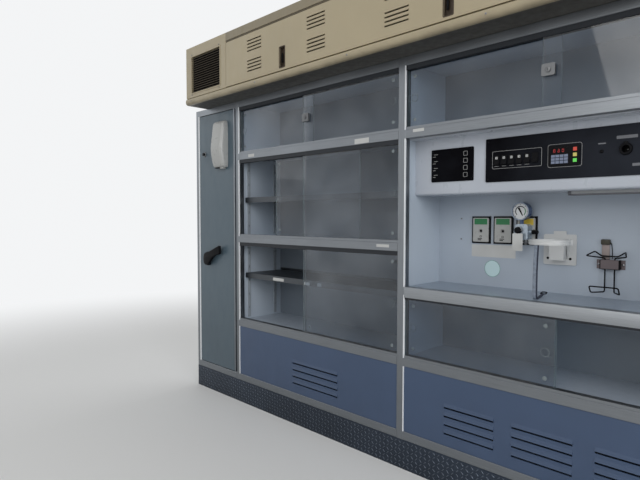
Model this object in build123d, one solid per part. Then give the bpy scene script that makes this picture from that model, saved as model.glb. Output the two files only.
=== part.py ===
# Side-wall cabinet unit from the patient compartment of a high-roof ambulance, in millimetres.
# X runs along the vehicle wall towards the front, Y into the wall, Z up.
# The origin is on the floor, under the middle of the whole unit.
import os

from build123d import *

os.makedirs("parts", exist_ok=True)

# Lengths along the wall
post_width = 32.0
locker_opening = 336.0
bay1_opening = 1006.0
bay2_opening = 1052.0

# Depths
case_depth = 300.0
lip_overhang = 130.0
fascia_setback = 5.0
back_thickness = 15.0
board = 19.0
frame_depth = 30.0
frame_wall = 2.5
frame_chamfer = 1.0
pipe_space = 23.0
recess_board = 12.0

# Heights, from the floor up
kick_height = 114.0
rail_height = 32.0
vent_opening = 251.0
row_c_opening = 403.0
row_b_opening = 390.0
row_a_opening = 236.0
nosing_height = 30.0
lower_opening = 240.0
recess_opening = 345.0
lip_height = 34.0
hatch_opening_height = 222.0
top_strip = 38.0

# Bolt holes in the back panel, where the unit is fixed to the vehicle's side wall
wall_bolt_spread = 2200.0
wall_bolt_low = 300.0
wall_bolt_rise = 1100.0
wall_bolt_radius = 4.5

# Clearances
seat_gap = 0.3
door_gap = 3.0
end_stop_gap = 1.0
pane_side_gap = 1.0
pin_gap = 0.1
shelf_back_gap = 2.0
cut_margin = 1.0

# Sliding panes and their tracks
pane_thickness = 5.0
pane_overlap = 52.0
track_wall = 2.5
track_middle = 5.0
track_base = 2.0
lower_groove = 8.0
upper_groove = 15.0
pane_lift = 7.0
track_setback = 3.0
grip_radius = 14.0
grip_height = 1.5
grip_inset = 28.0
grip_sides = 16
lock_width = 40.0
lock_height = 36.0
lock_depth = 10.0
lock_chamfer = 2.5
barrel_radius = 8.0
barrel_proud = 3.0
barrel_sides = 16

# How far each sliding pane stands open at rest, as a share of its travel
open_share_row_b = 0.57
open_share_row_c = 1.0
open_share_lower = 1.0

# Levels worked out from the heights
bottom_rail_z = kick_height
vent_z = bottom_rail_z + rail_height
rail3_z = vent_z + vent_opening
row_c_z = rail3_z + rail_height
rail2_z = row_c_z + row_c_opening
row_b_z = rail2_z + rail_height
rail1_z = row_b_z + row_b_opening
row_a_z = rail1_z + rail_height
top_rail_z = row_a_z + row_a_opening
soffit_z = top_rail_z + rail_height
counter_z = row_c_z + lower_opening
recess_z = counter_z + nosing_height
console_z = recess_z + recess_opening
hatch_z = soffit_z + lip_height
hatch_top_z = hatch_z + hatch_opening_height
overall_height = hatch_top_z + top_strip

# Places along X worked out from the openings
unit_length = 4 * post_width + locker_opening + bay1_opening + bay2_opening
rear_x = -unit_length / 2
locker_x = rear_x + post_width
post1_x = locker_x + locker_opening
bay1_x = post1_x + post_width
post2_x = bay1_x + bay1_opening
bay2_x = post2_x + post_width
post3_x = bay2_x + bay2_opening
front_end_x = post3_x + post_width

# Planes along Y
lip_y = -(case_depth + lip_overhang) / 2
fascia_y = lip_y + fascia_setback
face_y = lip_y + lip_overhang
back_y = face_y + case_depth
inner_back_y = back_y - back_thickness
inner_front_y = face_y + frame_depth
recess_wall_y = inner_back_y - pipe_space - recess_board
board_inset = (post_width - board) / 2

# Left and right faces of the boards that the decks of each bay fit between
locker_span = (rear_x + board, post1_x + board_inset)
bay1_span = (post1_x + board_inset + board, post2_x + board_inset)
bay2_span = (post2_x + board_inset + board, front_end_x - board)

parts = {}


def block(x0, x1, y0, y1, z0, z1):
    """A plain board between two corners."""
    return Pos((x0 + x1) / 2, (y0 + y1) / 2, (z0 + z1) / 2) * Box(x1 - x0, y1 - y0, z1 - z0)


def along_x(section, x0, x1):
    """Extrudes a section drawn as (y, z) from x0 to x1."""
    return Pos(x0, 0, 0) * extrude(Plane.YZ * section, x1 - x0)


def along_y(outline, y0, y1):
    """Extrudes an outline drawn as (x, z) from y0 back to y1."""
    facing = Plane(origin=(0, y1, 0), x_dir=(1, 0, 0), z_dir=(0, -1, 0))
    return extrude(facing * outline, y1 - y0)


def tile(x0, x1, y0, y1, z0, z1, corner):
    """A plate seen from the front, with its four corners cut by a chamfer."""
    outline = Pos((x0 + x1) / 2, (z0 + z1) / 2) * Rectangle(x1 - x0, z1 - z0)
    return along_y(chamfer(outline.vertices(), corner), y0, y1)


def round_bar(x, y, z, radius, length):
    """A round bar that starts at y and runs back along +Y."""
    return Pos(x, y + length / 2, z) * Rot(90, 0, 0) * Cylinder(radius, length)


def tube_section(width, height):
    """The frame's hollow section with its outer corners eased."""
    outer = Rectangle(width, height)
    outer = chamfer(outer.vertices(), frame_chamfer)
    return outer - Rectangle(width - 2 * frame_wall, height - 2 * frame_wall)


def add(name, *solids):
    parts[name] = list(solids)


# Frame of hollow aluminium sections
# Columns: left end, opening, underside of each rail
bays = (
    (locker_x, locker_opening, (bottom_rail_z, top_rail_z)),
    (bay1_x, bay1_opening, (bottom_rail_z, rail3_z, rail2_z, rail1_z, top_rail_z)),
    (bay2_x, bay2_opening, (bottom_rail_z, rail3_z, rail1_z, top_rail_z)),
)


def make_frame():
    middle_y = face_y + frame_depth / 2
    post = extrude(tube_section(post_width, frame_depth), soffit_z - kick_height)
    starts = (rear_x, post1_x, post2_x, post3_x)
    add("frame_posts", *[Pos(x + post_width / 2, middle_y, kick_height) * post for x in starts])
    section = tube_section(frame_depth, rail_height)
    rails = []
    for start, opening, levels in bays:
        for level in levels:
            placed = Pos(middle_y, level + rail_height / 2) * section
            rails.append(along_x(placed, start, start + opening))
    add("frame_rails", *rails)


# Boards of the case
def make_case():
    back = block(rear_x, front_end_x, inner_back_y, back_y, 0, soffit_z)
    for side in (-1, 1):
        for level in (wall_bolt_low, wall_bolt_low + wall_bolt_rise):
            bolt_x = side * wall_bolt_spread / 2
            back -= round_bar(bolt_x, inner_back_y, level, wall_bolt_radius, back_thickness)
    add("back_panel", back)
    uprights = []
    for x in (rear_x, front_end_x - board):
        uprights.append(block(x, x + board, inner_front_y, inner_back_y, 0, soffit_z))
    for x in (post1_x + board_inset, post2_x + board_inset):
        uprights.append(block(x, x + board, inner_front_y, inner_back_y, bottom_rail_z, soffit_z))
    add("upright_panels", *uprights)
    decks = []
    for span, (start, opening, levels) in zip((locker_span, bay1_span, bay2_span), bays):
        for level in levels:
            top = level + rail_height
            decks.append(block(*span, inner_front_y, inner_back_y, top - board, top))
    add("decks", *decks)


# Tread-plate kick, folded back along its top under the bottom rail
kick_thickness = 3.0
kick_return = 27.0


def make_kick():
    plate = block(rear_x, front_end_x, face_y, face_y + kick_thickness, 0, kick_height)
    fold = block(rear_x, front_end_x, face_y, face_y + kick_return, kick_height - kick_thickness, kick_height)
    add("kick_plate", plate + fold)


# Double-groove tracks and the sliding panes that run in them
groove = pane_thickness + 2 * pane_side_gap
track_depth = 2 * track_wall + 2 * groove + track_middle
track_y = face_y + track_setback
front_pane_y = track_y + track_wall + pane_side_gap
rear_pane_y = front_pane_y + groove + track_middle

# Columns: name, bay start, opening, underside, top, left share open, right share open
pane_rows = (
    ("row_a", bay1_x, bay1_opening, row_a_z, top_rail_z, 0.0, 0.0),
    ("row_b", bay1_x, bay1_opening, row_b_z, rail1_z, open_share_row_b, 0.0),
    ("row_c", bay1_x, bay1_opening, row_c_z, rail2_z, open_share_row_c, 0.0),
    ("upper", bay2_x, bay2_opening, row_a_z, top_rail_z, 0.0, 0.0),
    ("lower", bay2_x, bay2_opening, row_c_z, counter_z, 0.0, open_share_lower),
)


def track_section(groove_depth):
    """An E section: a base with three walls that point up."""
    height = track_base + groove_depth
    section = Rectangle(track_depth, track_base, align=(Align.MIN, Align.MIN))
    walls = ((0, track_wall), (track_wall + groove, track_middle), (track_depth - track_wall, track_wall))
    for offset, width in walls:
        section += Pos(offset, 0) * Rectangle(width, height, align=(Align.MIN, Align.MIN))
    return section


def pane_width(opening):
    return (opening + pane_overlap) / 2 - end_stop_gap


def pane_travel(opening):
    return opening - 2 * end_stop_gap - pane_width(opening)


def pane(start, opening, low, high, side, share):
    """One sliding pane. The left one runs in the rear groove, the right one in front."""
    width = pane_width(opening)
    shift = pane_travel(opening) * share
    if side == "left":
        x0 = start + end_stop_gap + shift
        y0 = rear_pane_y
        grip_x = x0 + grip_inset
    else:
        x0 = start + opening - end_stop_gap - width - shift
        y0 = front_pane_y
        grip_x = x0 + width - grip_inset
    z0 = low + track_base + seat_gap
    z1 = high - pane_lift
    grip = Pos(grip_x, (z0 + z1) / 2) * RegularPolygon(grip_radius, grip_sides)
    return block(x0, x0 + width, y0, y0 + pane_thickness, z0, z1) + along_y(grip, y0 - grip_height, y0)


def make_sliding_doors():
    lower_tracks = []
    upper_tracks = []
    for name, start, opening, low, high, left_share, right_share in pane_rows:
        end = start + opening
        lower_tracks.append(along_x(Pos(track_y, low) * track_section(lower_groove), start, end))
        flipped = Pos(track_y, high) * mirror(track_section(upper_groove), Plane.XZ)
        upper_tracks.append(along_x(flipped, start, end))
        add(f"pane_{name}_left", pane(start, opening, low, high, "left", left_share))
        add(f"pane_{name}_right", pane(start, opening, low, high, "right", right_share))
    add("lower_tracks", *lower_tracks)
    add("upper_tracks", *upper_tracks)
    # Small cam locks on the front pane's free edge, where the two panes overlap
    for name, start, opening, low, high, left_share, right_share in (pane_rows[0], pane_rows[3]):
        x0 = start + opening - end_stop_gap - pane_width(opening)
        middle_z = (low + high) / 2
        front = front_pane_y - lock_depth
        body = tile(x0, x0 + lock_width, front, front_pane_y,
                    middle_z - lock_height / 2, middle_z + lock_height / 2, lock_chamfer)
        outline = Pos(x0 + lock_width / 2, middle_z) * RegularPolygon(barrel_radius, barrel_sides)
        barrel = along_y(outline, front - barrel_proud, front)
        add(f"lock_{name}", body + barrel)


# Shelves, their slotted standards and clips
shelf_lip = 26.0
shelf_sheet = 2.0
shelf_back_lip = 12.0
shelf_front_gap = 42.0
shelf_b_rise = 173.0
shelf_c_rise = 217.0
standard_width = 16.0
standard_depth = 5.0
standard_front = 67.0
standard_rear_gap = 42.0
standard_margin = 8.0
slot_pitch = 72.0
slot_width = 5.0
slot_height = 14.0
clip_height = 22.0
clip_reach = 14.0
clip_width = 10.0


def shelf_solid(under):
    """A folded sheet with a front lip, a turned-in hem and an upstand at the back."""
    left = bay1_span[0] + standard_depth + end_stop_gap
    right = bay1_span[1] - standard_depth - end_stop_gap
    front = face_y + shelf_front_gap
    back = inner_back_y - shelf_back_gap
    top = under + shelf_lip
    shelf = block(left, right, front, back, top - shelf_sheet, top)
    shelf += block(left, right, front, front + shelf_sheet, under, top)
    shelf += block(left, right, front, front + clip_width, under, under + shelf_sheet)
    return shelf + block(left, right, back - shelf_sheet, back, top - shelf_sheet, top + shelf_back_lip)


def standard_solid(near, middle_y, foot, head):
    """A slotted strip on the wall, one slot in each pitch."""
    strip = block(near, near + standard_depth, middle_y - standard_width / 2, middle_y + standard_width / 2,
                  foot, head)
    count = int((head - foot - slot_height) // slot_pitch)
    first = (head + foot) / 2 - (count - 1) * slot_pitch / 2
    for index in range(count):
        level = first + index * slot_pitch
        strip -= block(near, near + standard_depth, middle_y - slot_width / 2, middle_y + slot_width / 2,
                       level - slot_height / 2, level + slot_height / 2)
    return strip


def make_shelves():
    shelves = []
    standards = []
    clips = []
    for floor_z, rise, top_z in ((row_b_z, shelf_b_rise, rail1_z), (row_c_z, shelf_c_rise, rail2_z)):
        shelves.append(shelf_solid(floor_z + rise))
        clip_top = floor_z + rise + shelf_lip - shelf_sheet
        for middle_y in (face_y + standard_front, inner_back_y - standard_rear_gap):
            for wall, inward in ((bay1_span[0], 1), (bay1_span[1], -1)):
                face = wall + inward * standard_depth
                standards.append(standard_solid(min(wall, face), middle_y,
                                                floor_z + standard_margin, top_z - standard_margin))
                clip_x = min(face, face + inward * clip_reach)
                clips.append(block(clip_x, clip_x + clip_reach, middle_y - clip_width / 2,
                                   middle_y + clip_width / 2, clip_top - clip_height, clip_top))
    add("shelves", *shelves)
    add("shelf_standards", *standards)
    add("shelf_clips", *clips)


# Pressed louvres: each slot opens under a hood that slopes out of the sheet
def hood(x0, x1, sheet_y, slot_top, proud, rise):
    section = make_face(Polyline((sheet_y, slot_top), (sheet_y - proud, slot_top), (sheet_y, slot_top + rise),
                                 close=True))
    return along_x(section, x0, x1)


# Louvred panels that close the space under the doors
vent_sheet = 4.0
vent_setback = 3.0
vent_slot = 7.0
vent_pitch = 31.0
vent_rows = 4
vent_first_rise = 41.0
vent_hood_proud = 2.5
vent_hood_rise = 13.0
bay1_louvre_width = 287.0
bay1_louvre_offset = 406.0
bay2_louvre_width = 188.0
bay2_louvre_offset = 174.0
bay2_louvre_pitch = 249.0
bay2_louvre_groups = 3


def make_vent_panels():
    bay2_groups = []
    for index in range(bay2_louvre_groups):
        bay2_groups.append((bay2_louvre_offset + bay2_louvre_pitch * index, bay2_louvre_width))
    panels = []
    for start, opening, groups in ((bay1_x, bay1_opening, [(bay1_louvre_offset, bay1_louvre_width)]),
                                   (bay2_x, bay2_opening, bay2_groups)):
        y0 = face_y + vent_setback
        y1 = y0 + vent_sheet
        panel = block(start + seat_gap, start + opening - seat_gap, y0, y1,
                      vent_z + seat_gap, rail3_z - seat_gap)
        for offset, width in groups:
            left = start + offset
            for row in range(vent_rows):
                low = vent_z + vent_first_rise + row * vent_pitch
                top = low + vent_slot
                panel -= block(left, left + width, y0, y1, low, top)
                panel += hood(left, left + width, y0, top, vent_hood_proud, vent_hood_rise)
        panels.append(panel)
    add("vent_panels", *panels)


# Work recess: counter, its nosing and the wall that carries the outlets
counter_thickness = 25.0
nosing_radius = 8.0


def make_recess():
    core = Rectangle(frame_depth - 2 * frame_wall, nosing_height - 2 * nosing_radius)
    section = RectangleRounded(frame_depth, nosing_height, nosing_radius) - core
    placed = Pos(face_y + frame_depth / 2, counter_z + nosing_height / 2) * section
    add("counter_nosing", along_x(placed, bay2_x, post3_x))
    wall_back = recess_wall_y + recess_board
    add("counter", block(*bay2_span, inner_front_y, wall_back, recess_z - counter_thickness, recess_z))
    add("recess_wall", block(*bay2_span, recess_wall_y, wall_back, recess_z, console_z))


# Console: a folded sheet with a front face and a floor, and the panels on it
console_setback = 77.0
console_sheet = 4.0
console_bend = 8.0
plate_thickness = 3.0
plate_corner = 3.0
switch_plate_width = 171.0
switch_plate_height = 119.0
switch_plate_offset = 67.0
switch_plate_rise = 47.0
button_size = 20.0
button_proud = 2.0
button_pitch = 25.0
button_side_gap = 20.0
button_count = 4
control_width = 701.0
control_height = 147.0
control_offset = 284.0
control_rise = 37.0
rocker_count = 6
rocker_width = 19.0
rocker_height = 30.0
rocker_pitch = 26.0
rocker_offset = 40.0
rocker_rise = 73.0
rocker_proud = 7.0
rocker_base = 2.0
display_width = 92.0
display_height = 62.0
display_offset = 215.0
display_rise = 41.0
display_proud = 6.0
display_corner = 4.0
screen_margin = 7.0
screen_width = 52.0
screen_height = 18.0
screen_depth = 2.0
key_size = 12.0
key_gap = 5.0
key_proud = 1.5
key_count = 3
socket_radius = 15.0
socket_sides = 24
socket_flange = 4.0
socket_bore = 10.5
socket_depth = 30.0
socket_floor = 3.0
socket_proud = 6.0
socket_offset = 430.0
socket_rise = 76.0
lamp_height = 12.0
lamp_depth = 30.0
lamp_length = 420.0
lamp_offset = 541.0
lamp_setback = 120.0
console_front_y = face_y + console_setback
panel_y = console_front_y - plate_thickness
control_x = bay2_x + control_offset
control_z = console_z + control_rise
socket_x = control_x + socket_offset
socket_z = control_z + socket_rise


def make_console():
    depth = recess_wall_y - console_front_y
    height = rail1_z - console_z
    corner = (Align.MIN, Align.MIN)
    section = Rectangle(depth, height, align=corner) - Pos(console_sheet, console_sheet) * Rectangle(
        depth, height, align=corner)
    bend = section.vertices().sort_by(Axis.X)[0:2].sort_by(Axis.Y)[0]
    shell = along_x(Pos(console_front_y, console_z) * fillet(bend, console_bend), *bay2_span)
    socket_front = panel_y - socket_proud
    socket_seat = round_bar(socket_x, socket_front, socket_z, socket_radius + seat_gap, socket_depth)
    add("console_shell", shell - socket_seat)
    panel = tile(control_x, control_x + control_width, panel_y, console_front_y,
                 control_z, control_z + control_height, plate_corner)
    add("control_panel", panel - socket_seat)
    outline = Pos(socket_x, socket_z) * RegularPolygon(socket_radius, socket_sides)
    flange = Pos(socket_x, socket_z) * RegularPolygon(socket_radius + socket_flange, socket_sides)
    socket = along_y(outline, socket_front, socket_front + socket_depth)
    socket += along_y(flange, socket_front, panel_y)
    socket -= round_bar(socket_x, socket_front, socket_z, socket_bore, socket_depth - socket_floor)
    add("power_socket", socket)
    lamp_x = bay2_x + lamp_offset
    lamp_y = face_y + lamp_setback
    add("console_lamp", block(lamp_x, lamp_x + lamp_length, lamp_y, lamp_y + lamp_depth,
                              console_z - lamp_height, console_z))


def make_switches():
    left = bay2_x + switch_plate_offset
    right = left + switch_plate_width
    low = console_z + switch_plate_rise
    plate = tile(left, right, panel_y, console_front_y, low, low + switch_plate_height, plate_corner)
    middle_z = low + switch_plate_height / 2
    for index in range(button_count):
        z = middle_z + (index - (button_count - 1) / 2) * button_pitch - button_size / 2
        x = right - button_side_gap - button_size
        plate += block(x, x + button_size, panel_y - button_proud, panel_y, z, z + button_size)
    add("switch_plate", plate)
    # Each rocker is pressed at its top, so its lower half stands proud
    rockers = []
    for index in range(rocker_count):
        middle_x = control_x + rocker_offset + index * rocker_pitch
        z0 = control_z + rocker_rise - rocker_height / 2
        z1 = z0 + rocker_height
        profile = make_face(Polyline(
            (panel_y, z0), (panel_y - rocker_proud, z0), (panel_y - rocker_base, (z0 + z1) / 2),
            (panel_y - rocker_base, z1), (panel_y, z1), close=True))
        rockers.append(along_x(profile, middle_x - rocker_width / 2, middle_x + rocker_width / 2))
    add("rocker_switches", *rockers)


def make_display():
    x0 = control_x + display_offset
    x1 = x0 + display_width
    z0 = control_z + display_rise
    z1 = z0 + display_height
    front = panel_y - display_proud
    unit = tile(x0, x1, front, panel_y, z0, z1, display_corner)
    screen_x = x0 + screen_margin
    screen_z = z1 - screen_margin - screen_height
    unit -= block(screen_x, screen_x + screen_width, front, front + screen_depth,
                  screen_z, screen_z + screen_height)
    key_x = x1 - screen_margin - key_size
    for index in range(key_count):
        key_z = z0 + screen_margin + index * (key_size + key_gap)
        unit += block(key_x, key_x + key_size, front - key_proud, front, key_z, key_z + key_size)
    add("display_unit", unit)


# Gas outlets on the recess wall: a dark frame with a raised plate, bored for the probe
outlet_width = 76.0
outlet_height = 103.0
outlet_pitch = 88.0
outlet_depth = 8.0
outlet_frame = 6.0
outlet_frame_depth = 5.0
outlet_offset = 143.0
outlet_rise = 163.0
outlet_bore = 8.0
outlet_bore_drop = 4.0
outlet_count = 3
outlet_x = bay2_x + outlet_offset
outlet_z = recess_z + outlet_rise
outlet_front_y = recess_wall_y - outlet_depth
outlet_bore_z = outlet_z + outlet_height / 2 - outlet_bore_drop


def make_outlets():
    outlets = []
    for index in range(outlet_count):
        left = outlet_x + index * outlet_pitch
        right = left + outlet_width
        base_y = recess_wall_y - outlet_frame_depth
        body = block(left, right, base_y, recess_wall_y, outlet_z, outlet_z + outlet_height)
        body += block(left + outlet_frame, right - outlet_frame, outlet_front_y, base_y,
                      outlet_z + outlet_frame, outlet_z + outlet_height - outlet_frame)
        body -= round_bar((left + right) / 2, outlet_front_y, outlet_bore_z, outlet_bore, outlet_depth)
        outlets.append(body)
    add("gas_outlets", *outlets)


# Suction regulator plugged into the last outlet: body with a side spigot, gauge on a neck, round knob
regulator_width = 44.0
regulator_height = 56.0
regulator_depth = 40.0
regulator_corner = 6.0
spigot_radius = 6.0
spigot_length = 22.0
gauge_radius = 32.0
gauge_depth = 28.0
gauge_rim = 4.0
gauge_neck = 13.0
gauge_offset = 6.0
neck_radius = 8.0
neck_sides = 6
knob_radius = 12.0
knob_sides = 16
knob_depth = 16.0
knob_offset = 9.0
knob_rise = 6.0


def make_regulator():
    x = outlet_x + outlet_width / 2 + (outlet_count - 1) * outlet_pitch
    z = outlet_bore_z
    front = outlet_front_y - regulator_depth
    side = x + regulator_width / 2
    top = z + regulator_height / 2
    body = tile(x - regulator_width / 2, side, front, outlet_front_y, z - regulator_height / 2, top,
                regulator_corner)
    spigot_y = front + regulator_depth / 2
    spigot = Rot(0, 90, 0) * Cylinder(spigot_radius, spigot_length)
    body += Pos(side + spigot_length / 2, spigot_y, z) * spigot
    add("regulator_body", body)
    gauge_x = x - gauge_offset
    gauge_z = top + gauge_neck + gauge_radius
    gauge = round_bar(gauge_x, front, gauge_z, gauge_radius, gauge_depth)
    neck = extrude(RegularPolygon(neck_radius, neck_sides), gauge_z - top)
    gauge += Pos(gauge_x, front + gauge_depth / 2, top) * neck
    gauge -= round_bar(gauge_x, front, gauge_z, gauge_radius - gauge_rim, gauge_rim)
    add("vacuum_gauge", gauge)
    knob = Pos(x - knob_offset, z + knob_rise) * RegularPolygon(knob_radius, knob_sides)
    add("regulator_knob", along_y(knob, front - knob_depth, front))


# White bracket with a ring that holds a suction canister, and its strap
bracket_width = 109.0
bracket_height = 105.0
bracket_thickness = 5.0
bracket_corner = 4.0
bracket_offset = 419.0
bracket_rise = 99.0
bracket_tab_width = 42.0
bracket_tab_rise = 11.0
ring_outer = 65.0
ring_inner = 56.0
ring_height = 16.0
ring_reach = 92.0
ring_drop = 32.0
pocket_width = 54.0
pocket_foot_width = 46.0
pocket_front_gap = 2.0
pocket_height = 72.0
strap_width = 16.0
strap_thickness = 2.5
strap_offset = 12.0
strap_slant = 51.0
strap_tail = 76.0
strap_bend = 12.0
buckle_length = 20.0
buckle_height = 8.0
buckle_margin = 2.0


def make_bracket():
    left = bay2_x + bracket_offset
    low = recess_z + bracket_rise
    high = low + bracket_height
    middle = left + bracket_width / 2
    front = recess_wall_y - bracket_thickness
    plate = tile(left, left + bracket_width, front, recess_wall_y, low, high, bracket_corner)
    half_tab = bracket_tab_width / 2
    tab = block(middle - half_tab, middle + half_tab, front, recess_wall_y, high - bracket_corner,
                high + bracket_tab_rise)
    add("bracket_plate", plate + tab)
    ring_z = high - ring_drop
    ring_y = recess_wall_y - ring_reach
    level = Pos(middle, ring_y, ring_z + ring_height / 2)
    # The pocket's front face stays behind the ring's bore
    pocket_y = ring_y + ring_inner + pocket_front_gap
    pocket_top = ring_z + ring_height
    outline = make_face(Polyline(
        (middle - pocket_width / 2, pocket_top), (middle + pocket_width / 2, pocket_top),
        (middle + pocket_foot_width / 2, pocket_top - pocket_height),
        (middle - pocket_foot_width / 2, pocket_top - pocket_height), close=True))
    ring = level * Cylinder(ring_outer, ring_height) + along_y(outline, pocket_y, front)
    add("canister_ring", ring - level * Cylinder(ring_inner, ring_height))
    # The strap hangs from the front of the ring and its tail lies back along the counter
    strap_x = middle - strap_offset
    ring_mean = (ring_outer + ring_inner) / 2
    top_y = ring_y - (ring_mean ** 2 - strap_offset ** 2) ** 0.5
    foot_z = recess_z + seat_gap + strap_thickness / 2
    foot_y = top_y - strap_slant
    # The strap leans, so the corner of its end, not its middle, lies under the ring
    corner_rise = strap_thickness / 2 * strap_slant / (ring_z - foot_z)
    top_z = ring_z - seat_gap - corner_rise
    route = FilletPolyline((top_y, top_z), (foot_y, foot_z), (foot_y + strap_tail, foot_z), radius=strap_bend)
    strip = extrude(Plane.YZ * trace(route, strap_thickness), strap_width)
    half_buckle = strap_width / 2 + buckle_margin
    buckle_y = foot_y + strap_tail
    buckle_z = recess_z + seat_gap
    buckle = block(strap_x - half_buckle, strap_x + half_buckle, buckle_y, buckle_y + buckle_length,
                   buckle_z, buckle_z + buckle_height)
    add("bracket_strap", Pos(strap_x - strap_width / 2, 0, 0) * strip + buckle)


# Black rack bent from one wire: two uprights with a front lip below and sprung arms above
wire_radius = 2.2
wire_sides = 12
rack_offset = 619.0
rack_spread = 28.0
rack_low_rise = 21.0
rack_high_rise = 131.0
rack_standoff = 12.0
arm_reach = 44.0
arm_spread = 44.0
arm_tip_rise = 8.0
arm_back_spread = 31.0
arm_back_rise = 21.0
arm_root_spread = 10.6
arm_root_rise = 6.0
foot_spread = 28.0
foot_reach = 44.0
lip_reach = 62.0
lip_rise = 22.0
clamp_width = 58.0
clamp_height = 30.0
clamp_wall = 2.0
clamp_drop = 6.0
wing_width = 13.0
tongue_width = 22.0
tongue_thickness = 3.0
tongue_rise = 64.0
tongue_offset = 15.0
rack_x = bay2_x + rack_offset + rack_spread / 2
wire_y = recess_wall_y - rack_standoff


def make_rack():
    low = recess_z + rack_low_rise
    high = recess_z + rack_high_rise
    half = rack_spread / 2
    # One half of the wire, from the middle of the front lip round to the middle of the top bar
    route = Polyline(
        (rack_x, wire_y - lip_reach, low + lip_rise),
        (rack_x + half + foot_spread, wire_y - lip_reach, low + lip_rise),
        (rack_x + half + foot_spread, wire_y - foot_reach, low),
        (rack_x + half, wire_y, low),
        (rack_x + half, wire_y, high),
        (rack_x + half + arm_spread, wire_y - arm_reach, high + arm_tip_rise),
        (rack_x + half + arm_back_spread, wire_y, high + arm_back_rise),
        (rack_x + half + arm_root_spread, wire_y, high + arm_root_rise),
        (rack_x, wire_y, high + arm_root_rise),
    )
    section = (route ^ 0) * RegularPolygon(wire_radius, wire_sides)
    right = sweep(section, path=route, transition=Transition.RIGHT)
    add("wire_rack", right + mirror(right, Plane.YZ.offset(rack_x)))


def make_rack_clamp():
    """A folded band round the uprights, open above and below, with screw wings and a spring tongue."""
    top = recess_z + rack_high_rise - clamp_drop
    foot = top - clamp_height
    front = wire_y - wire_radius - seat_gap - clamp_wall
    half = clamp_width / 2
    plate_y = recess_wall_y - clamp_wall
    clamp = block(rack_x - half - wing_width, rack_x + half + wing_width, plate_y, recess_wall_y, foot, top)
    clamp += block(rack_x - half, rack_x + half, front, plate_y, foot, top)
    inner = half - clamp_wall
    clamp -= block(rack_x - inner, rack_x + inner, front + clamp_wall, plate_y, foot, top)
    tongue_x = rack_x - tongue_offset
    clamp += block(tongue_x - tongue_width / 2, tongue_x + tongue_width / 2, plate_y - tongue_thickness, plate_y,
                   foot, top + tongue_rise)
    add("rack_clamp", clamp)


# Piano hinges: a pin inside knuckles that belong in turn to the fixed and the moving leaf.
# The barrels repeat often, so each is a regular polygon with few sides.
knuckle_radius = 3.5
knuckle_sides = 12
pin_radius = 1.5
leaf_thickness = 1.2
knuckle_gap = 0.3


def hinge_solid(length, count, first, sections):
    """A leaf along the whole length, and every second knuckle from the first."""
    leaf_section, knuckle_section = sections
    half = along_x(leaf_section, 0, length)
    pitch = length / count
    for index in range(first, count, 2):
        half += along_x(knuckle_section, index * pitch + knuckle_gap, (index + 1) * pitch - knuckle_gap)
    return half


def hinge_pair(length, count, fixed_sections, moving_sections):
    pin = RegularPolygon(pin_radius, knuckle_sides)
    bore = RegularPolygon(pin_radius + pin_gap, knuckle_sides)
    fixed = hinge_solid(length, count, 0, fixed_sections) + along_x(pin, 0, length)
    moving = hinge_solid(length, count, 1, moving_sections) - along_x(bore, 0, length)
    return fixed, moving


# Rear locker door with its hinge, latch, lock and dispenser
locker_door_thickness = 16.0
locker_door_chamfer = 1.5
locker_hinge_gap = 3.0
locker_knuckles = 5
locker_axis_lead = 3.8
locker_leaf_width = 18.0
latch_x = 95.0
latch_z = 578.0
rose_radius = 26.0
rose_depth = 12.0
stem_radius = 9.0
lever_length = 132.0
lever_width = 30.0
lever_end_width = 46.0
lever_corner = 7.0
lever_thickness = 9.0
lever_standoff = 20.0
lever_angle = 24.0
key_x = 54.0
key_z = 1162.0
key_radius = 14.0
key_depth = 4.0
door_low_z = vent_z + door_gap
door_high_z = top_rail_z - door_gap
locker_axis_x = post1_x - locker_hinge_gap / 2
locker_axis_y = face_y - locker_axis_lead


def make_locker():
    door = block(locker_x + door_gap, post1_x - locker_hinge_gap, face_y, face_y + locker_door_thickness,
                 door_low_z, door_high_z)
    front_edges = door.faces().sort_by(Axis.Y)[0].edges()
    add("locker_door", chamfer(front_edges, locker_door_chamfer))
    rose_x = locker_x + latch_x
    rose_z = vent_z + latch_z
    lever_y = face_y - rose_depth - lever_standoff
    rose = round_bar(rose_x, face_y - rose_depth, rose_z, rose_radius, rose_depth)
    stem = round_bar(rose_x, lever_y, rose_z, stem_radius, lever_standoff)
    # The lever widens from its pivot to its end
    half_root = lever_width / 2
    half_end = lever_end_width / 2
    blade = make_face(Polyline((0, -half_root), (lever_length, -half_end), (lever_length, half_end),
                               (0, half_root), close=True))
    blade = fillet(blade.vertices().group_by(Axis.X)[-1], lever_corner)
    outline = blade + Circle(half_root)
    tilted = Pos(rose_x, rose_z) * Rot(0, 0, lever_angle) * outline
    lever = along_y(tilted, lever_y - lever_thickness, lever_y)
    key = round_bar(locker_x + key_x, face_y - key_depth, vent_z + key_z, key_radius, key_depth)
    add("locker_latch", rose + stem + lever, key)


def make_locker_hinge():
    # Sections are drawn as (y, z) with the leaf behind the pin, then the hinge is stood up along Z
    leaf_y = knuckle_radius + knuckle_gap
    offset = (locker_hinge_gap - leaf_thickness) / 2
    pairs = []
    for side in (-1, 1):
        leaf_middle = leaf_y + locker_leaf_width / 2
        leaf = Pos(leaf_middle, side * offset) * Rectangle(locker_leaf_width, leaf_thickness)
        web = Pos(leaf_y / 2, side * offset) * Rectangle(leaf_y + leaf_thickness, leaf_thickness)
        pairs.append((leaf, RegularPolygon(knuckle_radius, knuckle_sides) + web))
    fixed, moving = hinge_pair(door_high_z - door_low_z, locker_knuckles, *pairs)
    stand = Pos(locker_axis_x, locker_axis_y, door_low_z) * Rot(0, -90, 0)
    add("locker_hinge_fixed", stand * fixed)
    add("locker_hinge_moving", stand * moving)


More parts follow.
